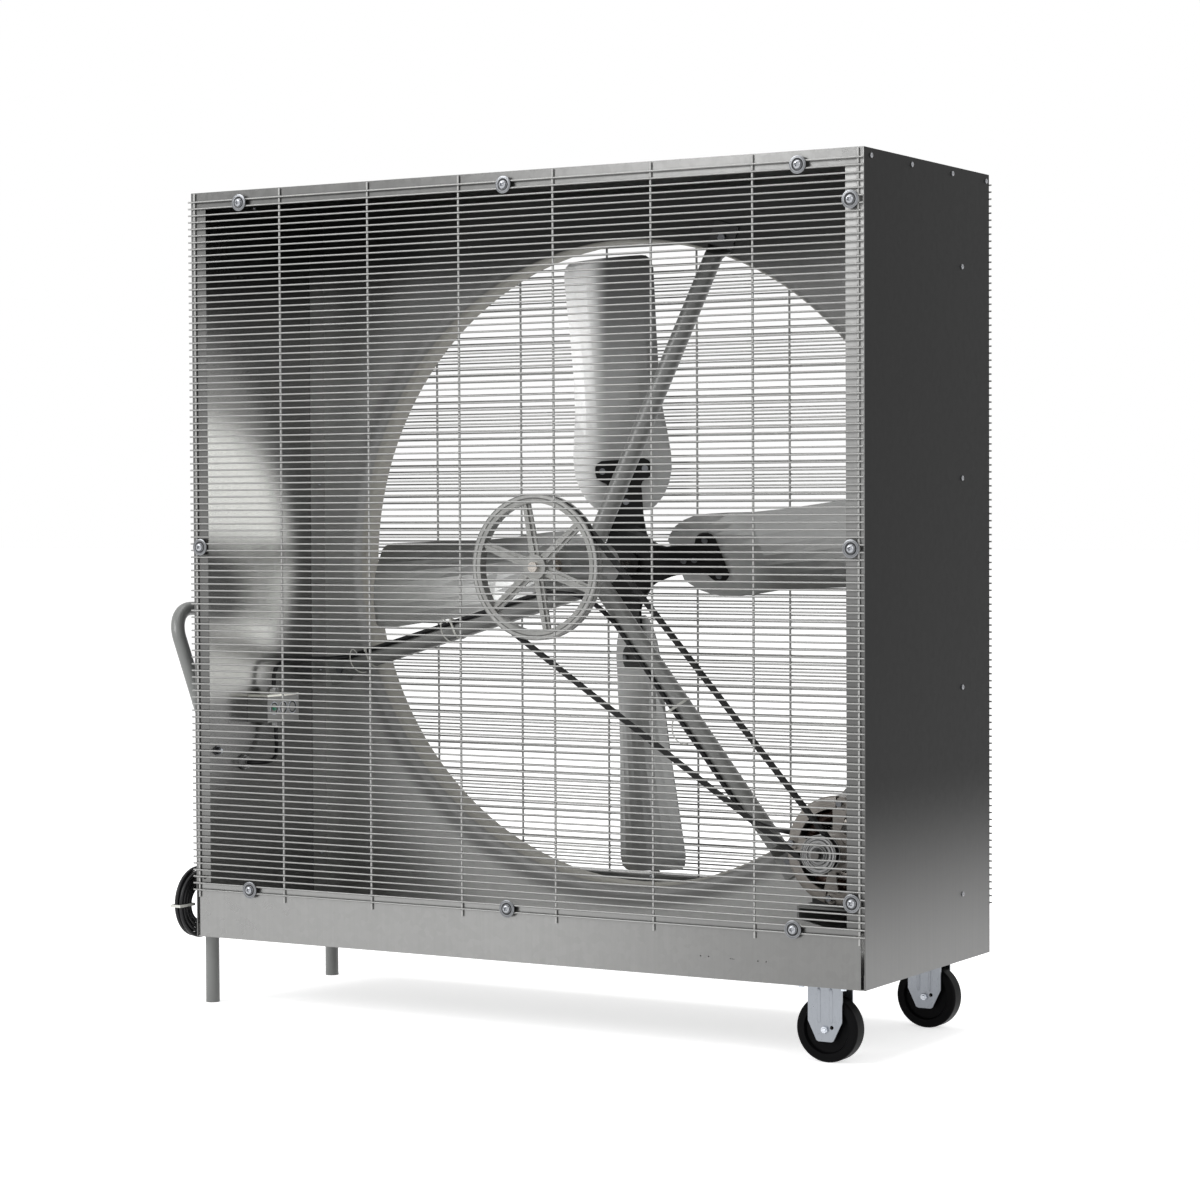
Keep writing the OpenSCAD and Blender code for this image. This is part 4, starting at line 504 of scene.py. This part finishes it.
def pan_head(radius, height, sides=40):
    """A pan head: the height falls with the fourth power of the radius, and sinks where a cross covers the point."""
    fall, sink, reach, half_wide, end_slope, side_slope = 0.45, 0.6, 0.54, 0.18, 0.12, 0.08
    r = np.concatenate([[1.0, 1.0], np.linspace(0.97, 0.08, 12)])[:, None] * radius
    turn = np.linspace(0, 2 * np.pi, sides, endpoint=False)[None]
    x, y = r * np.cos(turn), r * np.sin(turn)
    top = height * (1 - fall * (r / radius) ** 4) + 0 * x

    def arm(a, b):
        long = np.clip((reach * radius - np.abs(a)) / (end_slope * radius), 0, 1)
        return long * np.clip((half_wide * radius - np.abs(b)) / (side_slope * radius), 0, 1)

    z = top - sink * height * np.maximum(arm(x, y), arm(y, x))
    z[0] = 0
    return np.stack([x, y, z], -1).reshape(-1, 3), closed(len(r), sides)


def shank(radius, low, high, pitch=1.27, sides=14):
    """A threaded shank: the radius zigzags between crest and root once a pitch."""
    depth = 0.3
    z = np.arange(low, high, pitch / 2)
    r = radius - depth * (np.arange(len(z)) % 2)
    return turned(np.stack([r, z], 1), sides)


def hex_head(across, height):
    """A hexagon head cut back by a cone: two hexagon rings, radius = half across / cos(angle from the nearest flat's
    middle), and two round rings on top."""
    sides, half = 36, across / 2
    turn = np.linspace(0, 2 * np.pi, sides, endpoint=False)
    flat = half / np.cos((turn + np.pi / 6) % (np.pi / 3) - np.pi / 6)
    rows = [(flat, 0), (flat, height * 0.82), (half * 0.97, height), (half * 0.3, height)]
    rings = [np.stack([r * np.cos(turn), r * np.sin(turn), np.full(sides, z)], 1) for r, z in rows]
    return np.concatenate(rings), closed(len(rows), sides)


# ---------- Cords ----------

CORD_OUT = [[-724, 146, 323], [-733, 146, 322], [-741, 145, 315], [-745, 142, 302], [-747, 137, 280],
            [-746, 131, 240], [-744, 127, 190], [-743, 126, 140], [-743, 126, 96], [-743, 126, 64]]
CORD_TAIL = [[-751.8, 68, 122], [-752, 90, 122], [-753, 108, 121.5], [-755, 126, 116], [-756, 139, 105],
             [-757, 146, 90], [-757, 147, 76]]
CORD_IN = [[-680, 222, 392], [-680, 222, 380], [-678, 220, 364], [-673, 214, 348], [-667, 204, 335],
           [-663, 190, 327], [-664, 174, 323.5], [-669, 160, 323], [-678, 150, 323], [-688, 146, 323],
           [-700, 146, 323]]
MOTOR_CABLE = [[-680, 216, 460], [-680, 216, 478], [-680, 219, 496], [-678, 230, 510], [-675, 252, 516],
               [-672, 285, 518], [-668, 320, 518], [-660, 352, 517], [-646, 372, 517], [-628, 382, 519],
               [-607, 385, 523], [-567, 376, 534], [-447, 351, 565], [-327, 326, 596], [-207, 300, 627],
               [-117, 281, 651], [-80, 268, 656], [-45, 254, 657], [-10, 246, 654], [20, 246, 645],
               [42, 256, 628], [52, 270, 612], [60, 280, 599], [93, 293, 547], [159, 320, 441],
               [225, 347, 336], [262, 362, 277], [280, 369, 250], [296, 370, 237], [316, 364, 231],
               [345, 346, 229], [375, 320, 228], [400, 298, 228], [420, 284, 228], [434, 279, 228],
               [449, 278, 228]]
CORD_D, CABLE_D = 8.0, 9.0
COIL_MIDDLE = (-743, 60, 56)
PLUG_X, PLUG_Y, PLUG_Z = CORD_TAIL[-1]


def coil_line():
    """Two flat spirals side by side: inwards a pitch a turn for half the turns, over to the next layer, then out."""
    total, pitch, outer, step, crossing = 360 * 7.75, 8.8, 66.0, 7.5, 180
    x, y, z = COIL_MIDDLE
    turn = np.arange(0, total + 1, step)
    radius = outer - pitch * (total / 2 - np.abs(turn - total / 2)) / 360
    t = np.clip((turn - total / 2 + crossing / 2) / crossing, 0, 1)
    side = -pitch * t * t * (3 - 2 * t)
    angle = np.radians(turn)
    return np.stack([x + side, y + radius * np.cos(angle), z - radius * np.sin(angle)], 1)


def plug_shape():
    """A moulded plug hanging from the cord's end: a neck, ribs and a body as rings, X = wide cos to a power and
    Y = wide sin to the same power, signs kept."""
    power = 0.85
    z = np.array([0, -3, -6, -9, -12, -15, -18, -21, -24, -27, -30, -33, -38, -42, -44.0])
    wide = np.array([5.4, 5.8, 6.8, 6.3, 7.8, 7.2, 8.8, 8.4, 9.9, 11.0, 12.2, 13.0, 13.3, 13.2, 12.6])
    turn = np.linspace(0, 2 * np.pi, 36, endpoint=False)
    x = wide[:, None] * np.sign(np.cos(turn)) * np.abs(np.cos(turn)) ** power
    y = wide[:, None] * np.sign(np.sin(turn)) * np.abs(np.sin(turn)) ** power
    rings = np.stack([x, y, np.broadcast_to(z[:, None], x.shape)], -1) + [PLUG_X, PLUG_Y, PLUG_Z]
    return rings.reshape(-1, 3), [f[:, ::-1] for f in closed(len(z), len(turn))]


def box_shape(low, high):
    """The eight corners and six outward quads of a box."""
    low, high = np.asarray(low, float), np.asarray(high, float)
    pick = np.array([[i & 1, i >> 1 & 1, i >> 2] for i in range(8)])
    quads = np.array([[0, 2, 3, 1], [4, 5, 7, 6], [0, 1, 5, 4], [2, 6, 7, 3], [0, 4, 6, 2], [1, 3, 7, 5]])
    return low + pick * (high - low), [quads]


PRONG_HALF_GAP, PRONG_HALF_THICK, PRONG_HALF_WIDE, PRONG_TOP, PRONG_END = 6.35, 0.75, 3, 33, 14


def flat_prong(y):
    """One flat prong of the plug."""
    return box_shape([PLUG_X - PRONG_HALF_WIDE, y - PRONG_HALF_THICK, PRONG_END],
                     [PLUG_X + PRONG_HALF_WIDE, y + PRONG_HALF_THICK, PRONG_TOP])


plug_body = make_piece("plug_body", *placed(plug_shape()), "plug_vinyl", "cabinet")
pin_line = np.array([[-749, PLUG_Y, z] for z in (33, 20, 14, 12.2, 11.2)])
round_pin = tube(pin_line, [2.4, 2.4, 2.4, 1.9, 0.9], [1, 0, 0])
prongs = joined(flat_prong(PLUG_Y - PRONG_HALF_GAP), flat_prong(PLUG_Y + PRONG_HALF_GAP), round_pin)
plug_prongs = make_piece("plug_prongs", *placed(prongs), "machined_steel", "cabinet", "plug_vinyl")
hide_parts("plug")

supply_path = at(np.concatenate([eased(CORD_OUT)[:-1], coil_line(), eased(CORD_TAIL)]))
supply = make_piece("supply_cord_jacket", *tube(supply_path, CORD_D / 2000, [1, 0, 1]), "cord_jacket", "cabinet")
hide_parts("supply_cord", "cord_coil")

inner_path = at(eased(CORD_IN))
inner = make_piece("supply_cord_inside", *tube(inner_path, CORD_D / 2000, [0.2, 0.1, 1]), "cord_jacket", "cabinet")

cable_path = at(eased(MOTOR_CABLE, 5))
cable = make_piece("motor_cable_jacket", *tube(cable_path, CABLE_D / 2000, [1, -1, 1]), "cord_jacket", "cabinet")
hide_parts("motor_cable")


# ---------- Guard fastenings and welds ----------

PITCH, WIRE_LOW, WIRE_COUNT = 12.7, 90.0, 104
WIRE_HIGH = WIRE_LOW + (WIRE_COUNT - 1) * PITCH


def guard_places():
    """Where the guard screws are: three along the top and bottom, three at the right edge, one at the left."""
    top_x, bottom_x, edge_x, edge_shares = (-587, 0, 587), (-574, 0, 574), 685, np.array([0.105, 0.525, 0.937])
    gap = WIRE_LOW + (np.round((HEIGHT * edge_shares - WIRE_LOW) / PITCH - 0.5) + 0.5) * PITCH
    rows = [(x, WIRE_HIGH - PITCH / 2) for x in top_x] + [(x, WIRE_LOW + PITCH / 2) for x in bottom_x]
    return np.array(rows + [(edge_x, z) for z in gap] + [(-edge_x, gap[1])])


spots = guard_places()
front_spots = np.stack([spots[:, 0], np.zeros(len(spots)), spots[:, 1]], 1)
both_spots = np.concatenate([front_spots, front_spots + [0, DEPTH, 0]])
both_ways = np.repeat([FRONT, BACK], len(spots), axis=0)
head_turns = (np.arange(len(both_spots)) * 37.0) % 90
washer = turned([[3.5, 8.9], [3.5, 9.9], [7.6, 9.9], [8.2, 9.2], [10.6, 9.3], [11.3, 9.9], [14.6, 9.95], [15.6, 9.5],
                 [15.87, 8.8], [15.3, 8.7]][::-1], 48, ring=True)
seal = turned([[4, 7.58], [4, 8.85], [15.2, 8.65], [15.5, 7.9], [15.0, 7.58]][::-1], 48, ring=True)
dish = turned([[8.3, 9.25], [8.6, 9.42], [10.5, 9.42], [13.6, 10.02], [13.9, 9.7], [8.3, 9.1]][::-1], 48, ring=True)
head_corners, head_faces = pan_head(7.0, 4.4)
guard_screw = joined((head_corners + [0, 0, 10.0], head_faces), shank(3.15, -11, 9.9))
washers = make_piece("guard_washer_faces", *placed(copies(washer, both_spots, both_ways)), washer_face,
                     slot="zinc_fasteners")
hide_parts("guard_washers")
make_piece("guard_washer_seals", *placed(copies(seal, both_spots, both_ways)), seal_rubber, slot="belt_rubber")
# The washers' dish rings, painted near black as a painted reflection
make_piece("guard_washer_dishes", *placed(copies(dish, both_spots, both_ways)), washer_dish, slot="zinc_fasteners")
heads = make_piece("guard_screw_heads", *placed(copies(guard_screw, both_spots, both_ways, head_turns)), screw_zinc,
                   slot="zinc_fasteners")
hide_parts("guard_screws")

# Screws of a side panel: a column up the orifice panel's flange and a row along the top
COLUMN_Y, COLUMN_SHARES = 404, (0.0845, 0.347, 0.611, 0.877)
ROW_Z, ROW_SHARES = HEIGHT - 12.5, (0.055, 0.365, 0.69, 0.973)
panel_spots = np.array([[COLUMN_Y, HEIGHT * f] for f in COLUMN_SHARES] + [[DEPTH * f, ROW_Z] for f in ROW_SHARES])
side_spots = np.concatenate([np.insert(panel_spots, 0, s * (HALF_W + 0.05), axis=1) for s in (1, -1)])
side_ways = np.repeat([RIGHT, LEFT], len(panel_spots), axis=0)
side_turns = (np.arange(len(side_spots)) * 23.0) % 90
panel_screw = joined(pan_head(4.5, 2.8), shank(2.1, -8.8, 0.2, 0.9))
panel_heads = make_piece("panel_screw_heads", *placed(copies(panel_screw, side_spots, side_ways, side_turns)),
                         panel_zinc, slot="zinc_fasteners")
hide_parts("panel_screws")


def weld_beads():
    """A flattened bead at every crossing of a wire and a bar: a coarse ellipsoid squeezed between them."""
    bars, bar_gap, weld_y, squeeze = 8, 199, -4.28, 0.62
    bar_x = (np.arange(bars) - (bars - 1) / 2) * bar_gap
    wire_z = WIRE_LOW + np.arange(WIRE_COUNT) * PITCH
    x, z = np.meshgrid(bar_x, wire_z)
    front = np.stack([x.ravel(), np.full(x.size, weld_y), z.ravel()], 1)
    rear = front * [1, -1, 1] + [0, DEPTH, 0]
    corners, faces = turned([[0.5, -2.6], [1.9, -1.7], [2.5, 0], [1.9, 1.7], [0.5, 2.6]], 8)
    return copies((corners * [1, squeeze, 1], faces), np.concatenate([front, rear]), UP)


make_piece("guard_weld_beads", *placed(weld_beads()), "guard_wire", sharp=60)


# ---------- Motor ----------

def pierced(profile, thick, windows, sides=180):
    """A profile carried round Z with holes: the outer skin, the same skin moved back, and walls where a kept cell
    meets a hole. A window is (middle angle, half width, inner radius, outer radius)."""
    profile = np.asarray(profile, float)
    n = len(profile)
    turn = np.linspace(0, 2 * np.pi, sides, endpoint=False)
    x, y = profile[:, :1] * np.cos(turn), profile[:, :1] * np.sin(turn)
    skins = [np.stack([x, y, np.broadcast_to(profile[:, 1:] - t, x.shape)], -1).reshape(-1, 3) for t in (0, thick)]
    radius = (profile[1:, 0] + profile[:-1, 0])[:, None] / 2
    middle = np.degrees(turn + np.pi / sides)[None]
    keep = np.ones((n - 1, sides), bool)
    for angle, half, low, high in windows:
        away = np.abs((middle - angle + 180) % 360 - 180)
        keep &= ~((away < half) & (radius > low) & (radius < high))
    quads = grid_faces(n, sides)[keep.ravel()]
    faces = [quads, quads[:, ::-1] + n * sides]
    lower = np.concatenate([np.zeros((1, sides), bool), keep])
    upper = np.concatenate([keep, np.zeros((1, sides), bool)])
    before = np.roll(keep, 1, axis=1)
    for edge, step, rising in ((lower & ~upper, 1, False), (upper & ~lower, 1, True),
                               (before & ~keep, 0, True), (keep & ~before, 0, False)):
        row, column = np.nonzero(edge)
        a = row * sides + column
        b = row * sides + (column + 1) % sides if step else a + sides
        if rising:
            a, b = b, a
        faces.append(np.stack([a, b, b + n * sides, a + n * sides], -1))
    return np.concatenate(skins), faces


BELL_Y, BOLT_CIRCLE = MOTOR_Y + 14.4, 84
bolt_angles = np.array([7.0, -83.0, -173.0, 97.0])
motor_front = [[MOTOR_X, BELL_Y, MOTOR_Z]]
notches = [(a, 8.0, 74.5, 99.0) for a in bolt_angles]
slots = [(a + 45, 34.0, 37.0, 72.0) for a in bolt_angles]
dome = [[92.2, 0.0], [95.9, 0.0], [95.9, 4.5], [95.0, 6.8], [93.0, 8.4], [89, 9.4], [84, 10.0], [79, 10.5],
        [74, 11.0], [68.5, 11.4], [64, 11.8], [58, 12.4], [52, 13.1], [46, 13.8], [41, 14.4], [37, 14.8],
        [33, 15.0], [29, 15.4], [26.0, 17.5], [25.4, 20.2], [24, 21.2], [14, 21.3], [8.4, 21.3]]
skin, skin_faces = pierced(dome, 3.4, notches + slots)
# The bolts' angles count down from the right, so the bell is mirrored and its faces are turned over
bell = (skin * [1, -1, 1], [f[:, ::-1] for f in skin_faces])
lug = turned([[11.5, 0.0], [11.5, 6.5], [10.5, 7.6], [4.0, 7.8], [3.4, 7.8]], 30)
lug_spots = np.stack([MOTOR_X + BOLT_CIRCLE * np.cos(np.radians(bolt_angles)), np.full(len(bolt_angles), BELL_Y),
                      MOTOR_Z - BOLT_CIRCLE * np.sin(np.radians(bolt_angles))], 1)
bell_and_lugs = joined(copies(bell, motor_front, FRONT), copies(lug, lug_spots, FRONT))
front_bell = make_piece("motor_bell_dome", *placed(bell_and_lugs), "motor_paint")
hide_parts("motor_front_bell")


def winding(low, high, inner, outer, strands=44):
    """The end turns of a winding: a rounded ring whose surface swells at each strand, slanted as the coils lie."""
    sides, rows, depth, slant, power = 264, 20, 0.08, 1.4, 0.7
    turn = np.linspace(0, 2 * np.pi, sides, endpoint=False)
    around = np.linspace(0, 2 * np.pi, rows, endpoint=False)
    mid_r, half_r = (inner + outer) / 2, (outer - inner) / 2
    mid_z, half_z = (low + high) / 2, (high - low) / 2
    swell = 1 - depth * np.abs(np.sin(strands * turn[None] / 2 + slant * np.sin(around)[:, None]))
    radius = mid_r + half_r * np.sign(np.cos(around))[:, None] * np.abs(np.cos(around))[:, None] ** power * swell
    height = mid_z + half_z * np.sign(np.sin(around))[:, None] * np.abs(np.sin(around))[:, None] ** power * swell
    ring = np.stack([radius * np.cos(turn), radius * np.sin(turn), height], -1)
    return ring.reshape(-1, 3), [grid_faces(rows, sides, wrap_rows=True)[:, ::-1]]


end_turns = copies(winding(-44, -8, 52, 76), motor_front, FRONT)
make_piece("motor_windings", *placed(end_turns), copper_wire, slot="machined_steel", sharp=70)


# ---------- Casters ----------

WHEEL_X, AXLE_Z, FORK_FACE = 612, -78.0, 22.0


def flute(length, wide, high):
    """A pressed rib: a half-round ridge along Z that dies away at both ends."""
    rows, sides = 25, 16
    along = np.linspace(-1, 1, rows)
    turn = np.linspace(0, 2 * np.pi, sides, endpoint=False)
    size = (1 - along ** 8).clip(0.02, 1) ** 0.5
    x = wide / 2 * size[:, None] * np.cos(turn)
    y = high * size[:, None] * np.sin(turn)
    z = np.broadcast_to(along[:, None] * length / 2, x.shape)
    return np.stack([x, y, z], -1).reshape(-1, 3), closed(rows, sides)


wheel_y = np.array([59.0, 467.0])
rib_spots = [[WHEEL_X + dx, y + s * FORK_FACE, -37] for y in wheel_y for s in (-1, 1) for dx in (-11.5, 11.5)]
make_piece("caster_fork_ribs", *placed(copies(flute(62, 7.5, 1.3), rib_spots, UP)), "zinc_plate")
nut = joined(hex_head(11.5, 4.6), turned([[3.6, 4.0], [3.6, 6.4], [3.0, 7.0], [0.8, 7.0]], 20))
nut_spots = [[WHEEL_X, y + s * (FORK_FACE + 0.2), AXLE_Z] for y in wheel_y for s in (-1, 1)]
nut_turns = [12, 40, 25, 3]
nuts = copies(nut, nut_spots, np.stack([FRONT, BACK, FRONT, BACK]), nut_turns)
rod = tube(np.array([[0, 0, z] for z in (-22.4, -20, 0, 20, 22.4)], float), 5.99, [1, 0, 0], 28)
rods = copies(rod, [[WHEEL_X, y, AXLE_Z] for y in wheel_y], FRONT)
axles = make_piece("caster_axle_nuts", *placed(joined(nuts, rods)), "zinc_fasteners", slot="zinc_plate")
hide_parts("caster_axles")


# ---------- Switch box, cable ties, strain relief ----------

KNOCKOUT_STEP = 30
knockouts = [[BOX_FACE_X, BOX_Y + dy, BOX_Z] for dy in (-KNOCKOUT_STEP, 0, KNOCKOUT_STEP)]
groove = turned([[9.3, -0.2], [9.3, 0.35], [11.2, 0.35], [11.2, -0.2]][::-1], 44, ring=True)
make_piece("knockout_gaps", *placed(copies(groove, knockouts, RIGHT)), dark_gap, slot="galvanised_sheet")
# The lip round each knockout gets the bright zinc, lighter than the box: a painted highlight on its edge
lip = turned([[11.6, -0.2], [11.7, 0.7], [12.7, 0.7], [12.9, -0.2]][::-1], 44, ring=True)
make_piece("knockout_rims", *placed(copies(lip, knockouts, RIGHT)), "zinc_fasteners", slot="galvanised_sheet")
ground = joined(hex_head(8.0, 3.2), turned([[4.9, -0.2], [4.9, 0.9], [4.4, 1.1], [2, 1.1]], 28))
ground_spot = [[BOX_FACE_X - 0.2, BOX_Y - KNOCKOUT_STEP, BOX_Z]]
make_piece("ground_screw", *placed(copies(ground, ground_spot, RIGHT)), ground_green, slot="zinc_fasteners")

# The loose tail of a cable tie from its head on, where the heads of three ties are, and how each tail is turned
TAIL_LINE = [[0, -4, 2], [-5, -9, 9], [-8, -13, 6], [-8, -16, -6], [-3, -18, -20], [8, -18, -31], [20, -16, -36],
             [30, -14, -35]]
TIE_HEADS = [[-590, 376, 527], [-341, 325, 592], [176, 322, 414]]
TIE_TURNS = [0, 8, -14]
tail = tube(eased(TAIL_LINE), 1.15, [0, 1, 0.3], 8)
make_piece("tie_tails", *placed(copies(tail, TIE_HEADS, UP, TIE_TURNS)), "tie_nylon")


def strain_relief():
    """A sleeve along the cord's first bend: its radius falls evenly, with square waves for the ribs past its root."""
    root_r, fall, rib, waves, plain = 9.6, 4.2, 0.45, 6.5, 0.3
    line = eased([[-708, 146, 323], [-716, 146, 323]] + CORD_OUT[:4], 8)
    share = np.linspace(0, 1, len(line))
    radius = root_r - fall * share + rib * np.sign(np.sin(share * 2 * np.pi * waves)) * (share > plain)
    return tube(line, radius, [0, 1, 0.2], 24)


make_piece("strain_relief_sleeve", *placed(strain_relief()), "plug_vinyl", slot="plug_vinyl")


# ---------- Finishes on the CAD nodes ----------

NODE_FINISH = {
    "galvanised_sheet": ["side_panel_left", "side_panel_right", "top_panel", "bottom_panel", "orifice_panel",
                         "switch_plate", "switch_box"],
    "guard_wire": ["front_guard", "rear_guard"],
    "zinc_fasteners": ["guard_screws", "guard_nuts", "panel_screws", "leg_bolts", "leg_nuts", "caster_bolts",
                       "arm_bolts", "blade_bolts", "motor_bolts", "motor_bracket_bolts", "guard_washers"],
    "zinc_plate": ["caster_fork_front", "caster_fork_rear", "caster_axles"],
    "leg_paint": ["leg_handle_tube"],
    "wheel_rubber": ["wheel_front", "wheel_rear"],
    "machined_steel": ["wheel_bush_front", "wheel_bush_rear", "fan_shaft", "bearing_front", "bearing_rear",
                       "motor_rotor", "pulley_set_screw", "motor_stator"],
    "frame_paint": ["arm_top", "arm_left", "arm_lower", "bearing_housing", "motor_bracket"],
    "pulley_casting": ["drive_pulley", "motor_pulley"],
    "spider_paint": ["prop_spider"],
    "blade_sheet": ["blade_1", "blade_2", "blade_3", "blade_4"],
    "belt_rubber": ["drive_belt"],
    "motor_paint": ["motor_shell", "motor_front_bell", "motor_rear_bell"],
    "motor_dark_paint": ["motor_foot", "conduit_box"],
    "switch_plastic": ["switch_body"],
    "toggle_plastic": ["switch_toggle"],
    "die_cast_zinc": ["cable_clamps"],
    "tie_nylon": ["cable_ties"],
}


def dress(node_name, finish):
    """Gives a CAD node its finish, in every material slot it has."""
    material = material_of(finish)
    node = nodes[node_name]
    if not node.material_slots:
        node.data.materials.append(material)
    for material_slot in node.material_slots:
        material_slot.material = material


for finish_name, dressed in NODE_FINISH.items():
    for node_name in dressed:
        dress(node_name, finish_name)

dress("side_panel_right", side_outside)
dress("side_panel_left", side_inside)
dress("orifice_panel", orifice_face)
dress("top_panel", top_sheet)
dress("switch_box", box_sheet)
dress("motor_pulley", small_pulley)
dress("motor_rotor", shaft_end)
dress("arm_top", arm_shaded)
# These fasteners get the darker zinc: a painted shade
for shaded in ("blade_bolts", "motor_bolts", "arm_bolts", "leg_nuts"):
    dress(shaded, dull_zinc_painted_shade)
# The blade that points up is the one that lies above the hub, in metres over the floor
HUB_TOP = 0.9
# The upward blade gets the painted highlight and painted shade
for blade in NODE_FINISH["blade_sheet"]:
    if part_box(blade)[0][2] > HUB_TOP:
        dress(blade, top_blade_painted_light)


# ---------- Studio ----------

# Lamps: name, place, width and power
LAMPS = [("front_left", (-3.2, -5.0, 4.2), 3.0, 260), ("front_right", (4.6, -3.2, 3.0), 2.5, 55),
         ("overhead", (0, 0.3, 5.0), 3.5, 120)]
LAMP_AIM = (0, 0, 0.8)
FLOOR_HALF, FLOOR_GLOW, SKY_LIGHT = 60.0, 0.62, 0.55


def shown(finish):
    """1 on rays from the camera, mirrored rays and rays let through, 0 on the rays that only carry light."""
    rays = [finish.node("ShaderNodeLightPath", out=f"Is {kind} Ray") for kind in ("Camera", "Glossy", "Transmission")]
    return (rays[0] + rays[1] + rays[2]) > 0.5


def lay_floor():
    """A pale floor that keeps a soft shadow and glows where it is shown."""
    f = Finish("floor")
    f.surface(Base_Color=(0.80, 0.80, 0.80), Roughness=0.9, Emission_Color=(1, 1, 1),
              Emission_Strength=shown(f) * FLOOR_GLOW)
    mesh = bpy.data.meshes.new("floor")
    corners = [(x * FLOOR_HALF, y * FLOOR_HALF, 0) for x, y in ((-1, -1), (1, -1), (1, 1), (-1, 1))]
    mesh.from_pydata(corners, [], [(0, 1, 2, 3)])
    floor = bpy.data.objects.new("floor", mesh)
    bpy.context.collection.objects.link(floor)
    mesh.materials.append(f.material)


def surround():
    """White surroundings: full white where they are shown, dimmer as light."""
    f = Finish("surroundings", bpy.data.worlds)
    strength = shown(f) * (1 - SKY_LIGHT) + SKY_LIGHT
    light = f.node("ShaderNodeBackground", None, {"Color": (1, 1, 1), "Strength": strength})
    f.node("ShaderNodeOutputWorld", None, {"Surface": light}, None)
    bpy.context.scene.world = f.material


def hang_lamps():
    """Broad square lamps, each turned to face the aim."""
    for name, place, width, power in LAMPS:
        light = bpy.data.lights.new(name, "AREA")
        light.shape, light.size, light.energy = "SQUARE", width, power
        lamp = bpy.data.objects.new(name, light)
        bpy.context.collection.objects.link(lamp)
        lamp.location = place
        lamp.rotation_mode = "QUATERNION"
        lamp.rotation_quaternion = (Vector(LAMP_AIM) - Vector(place)).to_track_quat("-Z", "Y")


lay_floor()
surround()
hang_lamps()
bpy.context.scene.view_settings.view_transform = "Standard"
